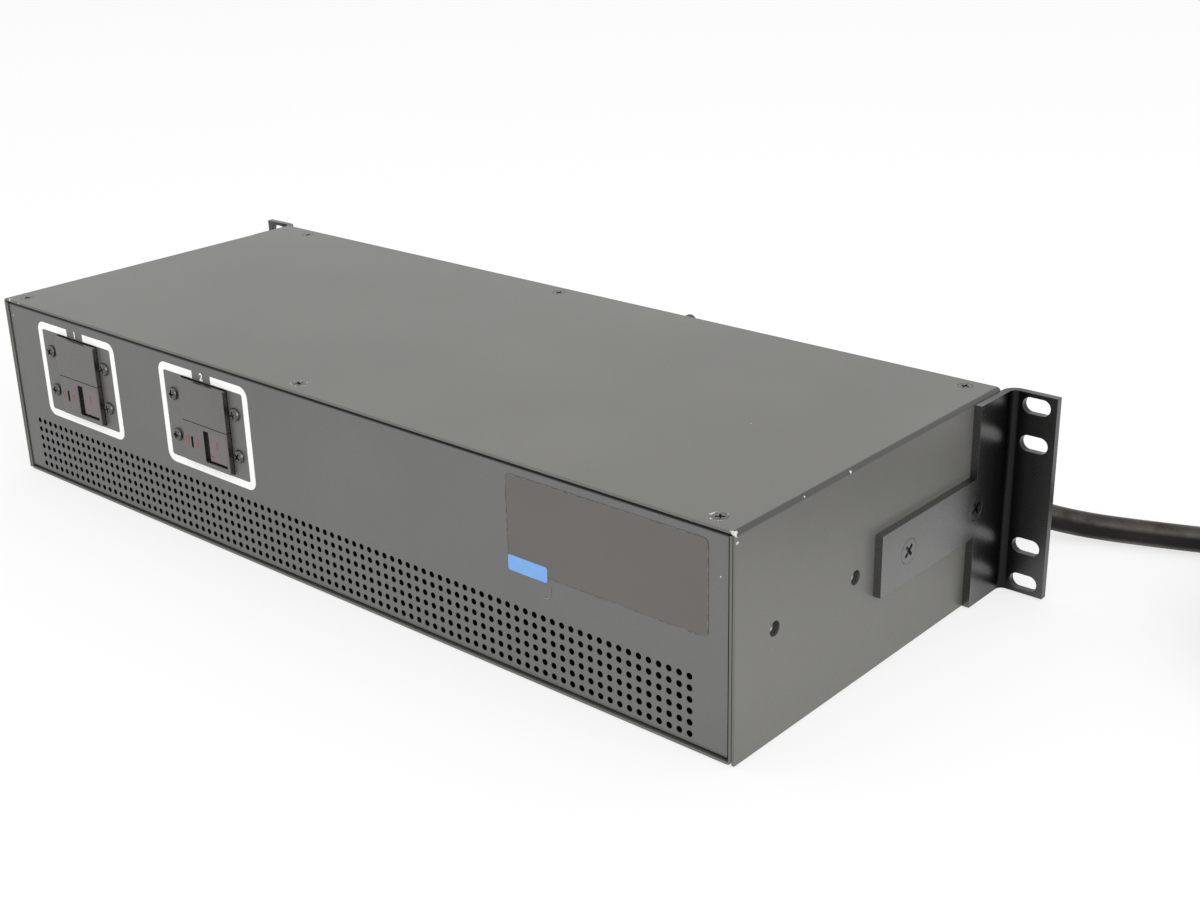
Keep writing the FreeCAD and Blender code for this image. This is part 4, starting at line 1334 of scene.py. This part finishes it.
def scratchOutline():  # along the path and back, a little to the inside
    path = printSize["scratch"]
    width = printSize["scratchWidth"]
    return list(path) + [(x - width, z + width) for x, z in path[::-1]]


def digitPiece(name, text, centre):
    font = bpy.data.curves.new(name, "FONT")
    font.body = text
    font.size = printSize["digit"] * mm
    font.align_x = "CENTER"
    font.align_y = "CENTER"
    font.extrude = printThick / 2 * mm
    font.offset = printSize["digitWeight"] * mm
    digit = linkPiece(name, font)
    digit.matrix_world = stoodUp(centre[0], panelFront - printThick / 2, centre[1])
    return bakeShape(digit)


# A thin layer on the panel; lift is what lies under it
def printLayer(name, material, outline, holes=(), thick=printThick, edge=0.0, lift=0.0):
    layer = plate(name, outline, holes, thick, edge, panelFront - lift - thick / 2)
    dress(layer, material, "powder_coat")


def panelPrint():
    for number, centre in enumerate(breakerSize["centres"], 1):
        printLayer(f"printed_frame_{number}", whiteInk, frameOutline((centre, printSize["frameZ"])))
        top = printSize["frameZ"] + printSize["frame"][1] / 2 - printSize["line"] / 2
        digit = digitPiece(f"printed_number_{number}", str(number), (centre, top))
        dress(digit, whiteInk, "powder_coat")
    film = printSize["film"]
    width, height = printSize["label"]
    corner = printSize["labelCorner"]
    rim = printSize["labelRim"]
    outline = roundRect(width, height, corner, printSize["labelAt"])
    inside = roundRect(width - 2 * rim, height - 2 * rim, corner - rim, printSize["labelAt"])
    printLayer("label_plate", labelFilm, outline, thick=film, edge=printSize["labelEdge"])
    printLayer("label_rim", labelEdge, outline, [inside], lift=film)
    sticker = roundRect(*printSize["sticker"], printSize["stickerCorner"], printSize["stickerAt"])
    printLayer("blue_sticker", blueFilm, sticker, thick=film, edge=printSize["stickerEdge"], lift=film)
    printLayer("label_scratch", scratchFilm, scratchOutline(), lift=film)


panelPrint()
print("panel printed")


# Cord fittings: ribbed bushing, tie and locking plug
def bushingPiece():
    size = bushingSize
    root = size["root"]
    collar = size["collar"]
    edge = size["collarEdge"]
    start = size["collarThick"]
    profile = [(cordBore, -size["inside"]), (root, -size["inside"]), (root, 0), (collar - edge, 0),
               (collar, edge), (collar, start - edge), (collar - edge, start)]
    width = (size["outside"] - start) / size["ribs"]
    for rib in range(size["ribs"]):
        foot = start + rib * width
        radius = root + (size["tip"] - root) * (rib + 1) / size["ribs"]
        low = radius - size["ribDepth"]
        profile += [(low, foot + 0.1), (low, foot + 0.35 * width), (radius, foot + 0.5 * width),
                    (radius, foot + 0.95 * width)]
    profile += [(size["tip"] - 0.6, size["outside"]), (cordBore, size["outside"]), (cordBore, -size["inside"])]
    return spinPiece("bushing_sleeve", profile, (size["x"], rearFace, size["z"]), (0, 1, 0), 40)


bushing = dress(bushingPiece(), plugPlastic, "cord_rubber", "cord_bushing")

tieSize = {"angle": 200, "width": 14, "corner": 4.5, "insets": (0.05, 1.2)}


def tiePiece():
    low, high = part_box("cord_coil")
    height = (high.z - low.z) / mm
    outer = cordSize["outerTurn"] + floorZ
    inner = cordSize["outerTurn"] - cordSize["diameter"] - floorZ
    middle = (outer + inner) / 2
    angle = math.radians(tieSize["angle"])
    out = Vector((math.cos(angle), math.sin(angle), 0))
    along = Vector((-math.sin(angle), math.cos(angle), 0))
    start = Vector((*cordSize["coilCentre"], height / 2)) + out * middle - along * (tieSize["width"] / 2)
    lines = []
    for inset in tieSize["insets"]:
        loop = roundRect(outer - inner - 2 * inset, height - 2 * inset, tieSize["corner"] - inset, (0, 0), 6)
        lines.append([start + out * x + axisZ * z for x, z in loop])
    bm = bmesh.new()
    addSheet(bm, *lines, along * tieSize["width"], closed=True)
    return fromBmesh("coil_strap", bm)


tie = dress(tiePiece(), tieFabric, "tie_fabric", "cord_tie")

plugSize = {
    "x": 456.0,
    "radius": 22.5,
    "bodyInset": 0.35,
    "length": 48.0,
    "capLength": 34.0,
    "neck": 10.5,
    "capEnd": 72.0,
    "capSteps": 8,
    "waist": 1.5,
    "groove": 0.9,
    "blades": 3,
    "bladeRing": 14.0,
    "bladeLength": 18.0,
    "bladeThick": 1.8,
    "bladeSpan": 36.0,
    "bladeSteps": 8,
    "bladeEdge": 0.3,
}
plugFoot = plugSize["capEnd"] - plugSize["capLength"]


def plugCap():
    neck = plugSize["neck"]
    wide = plugSize["radius"] - plugSize["waist"]
    length = plugSize["capLength"]
    steps = plugSize["capSteps"]
    profile = [(cordBore, 0), (neck - 0.8, 0), (neck, 0.8), (neck, 4)]
    for step in range(steps + 1):
        share = eased(step / steps)
        profile.append((neck + (wide - neck) * share, 5 + (length - 9) * step / steps))
    profile += [(wide, length - 0.4), (wide - 0.4, length), (cordBore, length), (cordBore, 0)]
    origin = (plugSize["x"], plugSize["capEnd"], plugSize["radius"])
    return spinPiece("plug_cap_shell", profile, origin, (0, -1, 0), 48)


def plugBody():
    radius = plugSize["radius"] - plugSize["bodyInset"]
    low = radius - plugSize["groove"]
    length = plugSize["length"]
    profile = [(0, 0), (radius - 1.0, 0), (radius, 0.8), (radius, 6), (low, 6.8), (low, 8.0),
               (radius, 8.8), (radius, 34), (low, 35), (low, 36.5), (radius, 37.5),
               (radius, length - 1.2), (radius - 1.2, length), (0, length)]
    origin = (plugSize["x"], plugFoot, plugSize["radius"])
    return spinPiece("plug_body_shell", profile, origin, (0, -1, 0), 64)


def plugBlades():
    bm = bmesh.new()
    centre = (plugSize["x"], plugFoot - plugSize["length"], plugSize["radius"])
    inside = plugSize["bladeRing"]
    half = plugSize["bladeSpan"] / 2
    for number in range(plugSize["blades"]):
        turn = 90 - number * 360 / plugSize["blades"]
        lines = [arcPoints(centre, axisX, axisZ, radius, turn - half, turn + half, plugSize["bladeSteps"])
                 for radius in (inside + plugSize["bladeThick"], inside)]
        addSheet(bm, *lines, (0, -plugSize["bladeLength"], 0))
    return roundEdges(fromBmesh("plug_blade_set", bm), plugSize["bladeEdge"])


plug = [
    dress(plugCap(), plugPlastic, "plug_plastic", "plug_cap"),
    dress(plugBody(), plugPlastic, "plug_plastic", "plug_body"),
    dress(plugBlades(), contactMetal, "contact_metal", "plug_blades"),
]
print("cord fittings made")


# Inside pieces keep their CAD shape and get a finish
insideFinish = {
    "breaker_terminals": contactMetal,
    "network_board": circuitBoard,
    "control_board": circuitBoard,
    "board_standoffs": platedSteel,
    "supply_transformer": transformerSteel,
    "current_sensors": terminalPlastic,
    "input_terminal_block": terminalPlastic,
    "earth_stud": platedSteel,
    "bushing_nut": platedSteel,
}
for number in blockNumbers:
    insideFinish[f"outlet_busbars_{number}"] = contactMetal
for node, finish in insideFinish.items():
    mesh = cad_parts[node].data
    mesh.materials.clear()
    mesh.materials.append(finish)
print("inside finished")


# Pale floor and soft light
studio = {
    "floor": 0.86,
    "floorSpread": 0.02,
    "floorSize": 8.0,
    "floorDrop": 0.0004,
    "floorGlow": 0.72,
    "world": 0.95,
    "aim": (0, 0, 0.04),
    "lamps": [
        {"name": "top", "at": (-0.3, -0.2, 1.5), "size": 1.6, "watts": 3.0},
        {"name": "right", "at": (2.0, -0.3, 0.75), "size": 1.9, "watts": 29.0},
        {"name": "left", "at": (-1.4, -1.2, 0.9), "size": 1.2, "watts": 1.5},
    ],
}
white = (1, 1, 1, 1)


def seenRays(tree):  # camera, mirror and see-through rays
    path = tree.nodes.new("ShaderNodeLightPath")
    both = addMath(tree, "MAXIMUM", path.outputs["Is Camera Ray"], path.outputs["Is Glossy Ray"])
    return addMath(tree, "MAXIMUM", both, path.outputs["Is Transmission Ray"])


def mixShaders(tree, share, first, second, output):
    mix = tree.nodes.new("ShaderNodeMixShader")
    tree.links.new(share, mix.inputs["Fac"])
    tree.links.new(first.outputs[0], mix.inputs[1])
    tree.links.new(second.outputs[0], mix.inputs[2])
    tree.links.new(mix.outputs[0], tree.nodes[output].inputs["Surface"])


def studioLight():
    world = bpy.data.worlds.new("studio")
    bpy.context.scene.world = world
    world.use_nodes = True
    tree = world.node_tree
    soft = tree.nodes["Background"]
    setInputs(soft, {"Color": white, "Strength": studio["world"]})
    backdrop = tree.nodes.new("ShaderNodeBackground")
    setInputs(backdrop, {"Color": white, "Strength": 1.0})
    mixShaders(tree, seenRays(tree), soft, backdrop, "World Output")
    for lamp in studio["lamps"]:
        data = bpy.data.lights.new(lamp["name"], "AREA")
        data.energy = lamp["watts"]
        data.size = lamp["size"]
        light = linkPiece(lamp["name"], data)
        light.location = lamp["at"]
        aim = Vector(studio["aim"]) - Vector(lamp["at"])
        light.rotation_euler = aim.to_track_quat("-Z", "Y").to_euler()


def studioFloor():
    bm = bmesh.new()
    bmesh.ops.create_grid(bm, x_segments=1, y_segments=1, size=studio["floorSize"] / 2)
    floor = fromBmesh("floor", bm)
    floor.location.z = -studio["floorDrop"]
    material, tree, shader = startMaterial("paleFloor", 0.9, specular=0.1)
    pale = studio["floor"]
    paler = pale + studio["floorSpread"]
    colour = addRamp(tree, addNoise(tree, 3.0), (pale, pale, pale), (paler, paler, paler))
    tree.links.new(colour, shader.inputs["Base Color"])
    glow = tree.nodes.new("ShaderNodeEmission")
    setInputs(glow, {"Strength": 1.0})
    share = addMath(tree, "MULTIPLY", seenRays(tree), studio["floorGlow"])
    mixShaders(tree, share, shader, glow, "Material Output")
    floor.data.materials.append(material)


studioLight()
studioFloor()
bpy.context.scene.view_settings.view_transform = "Standard"
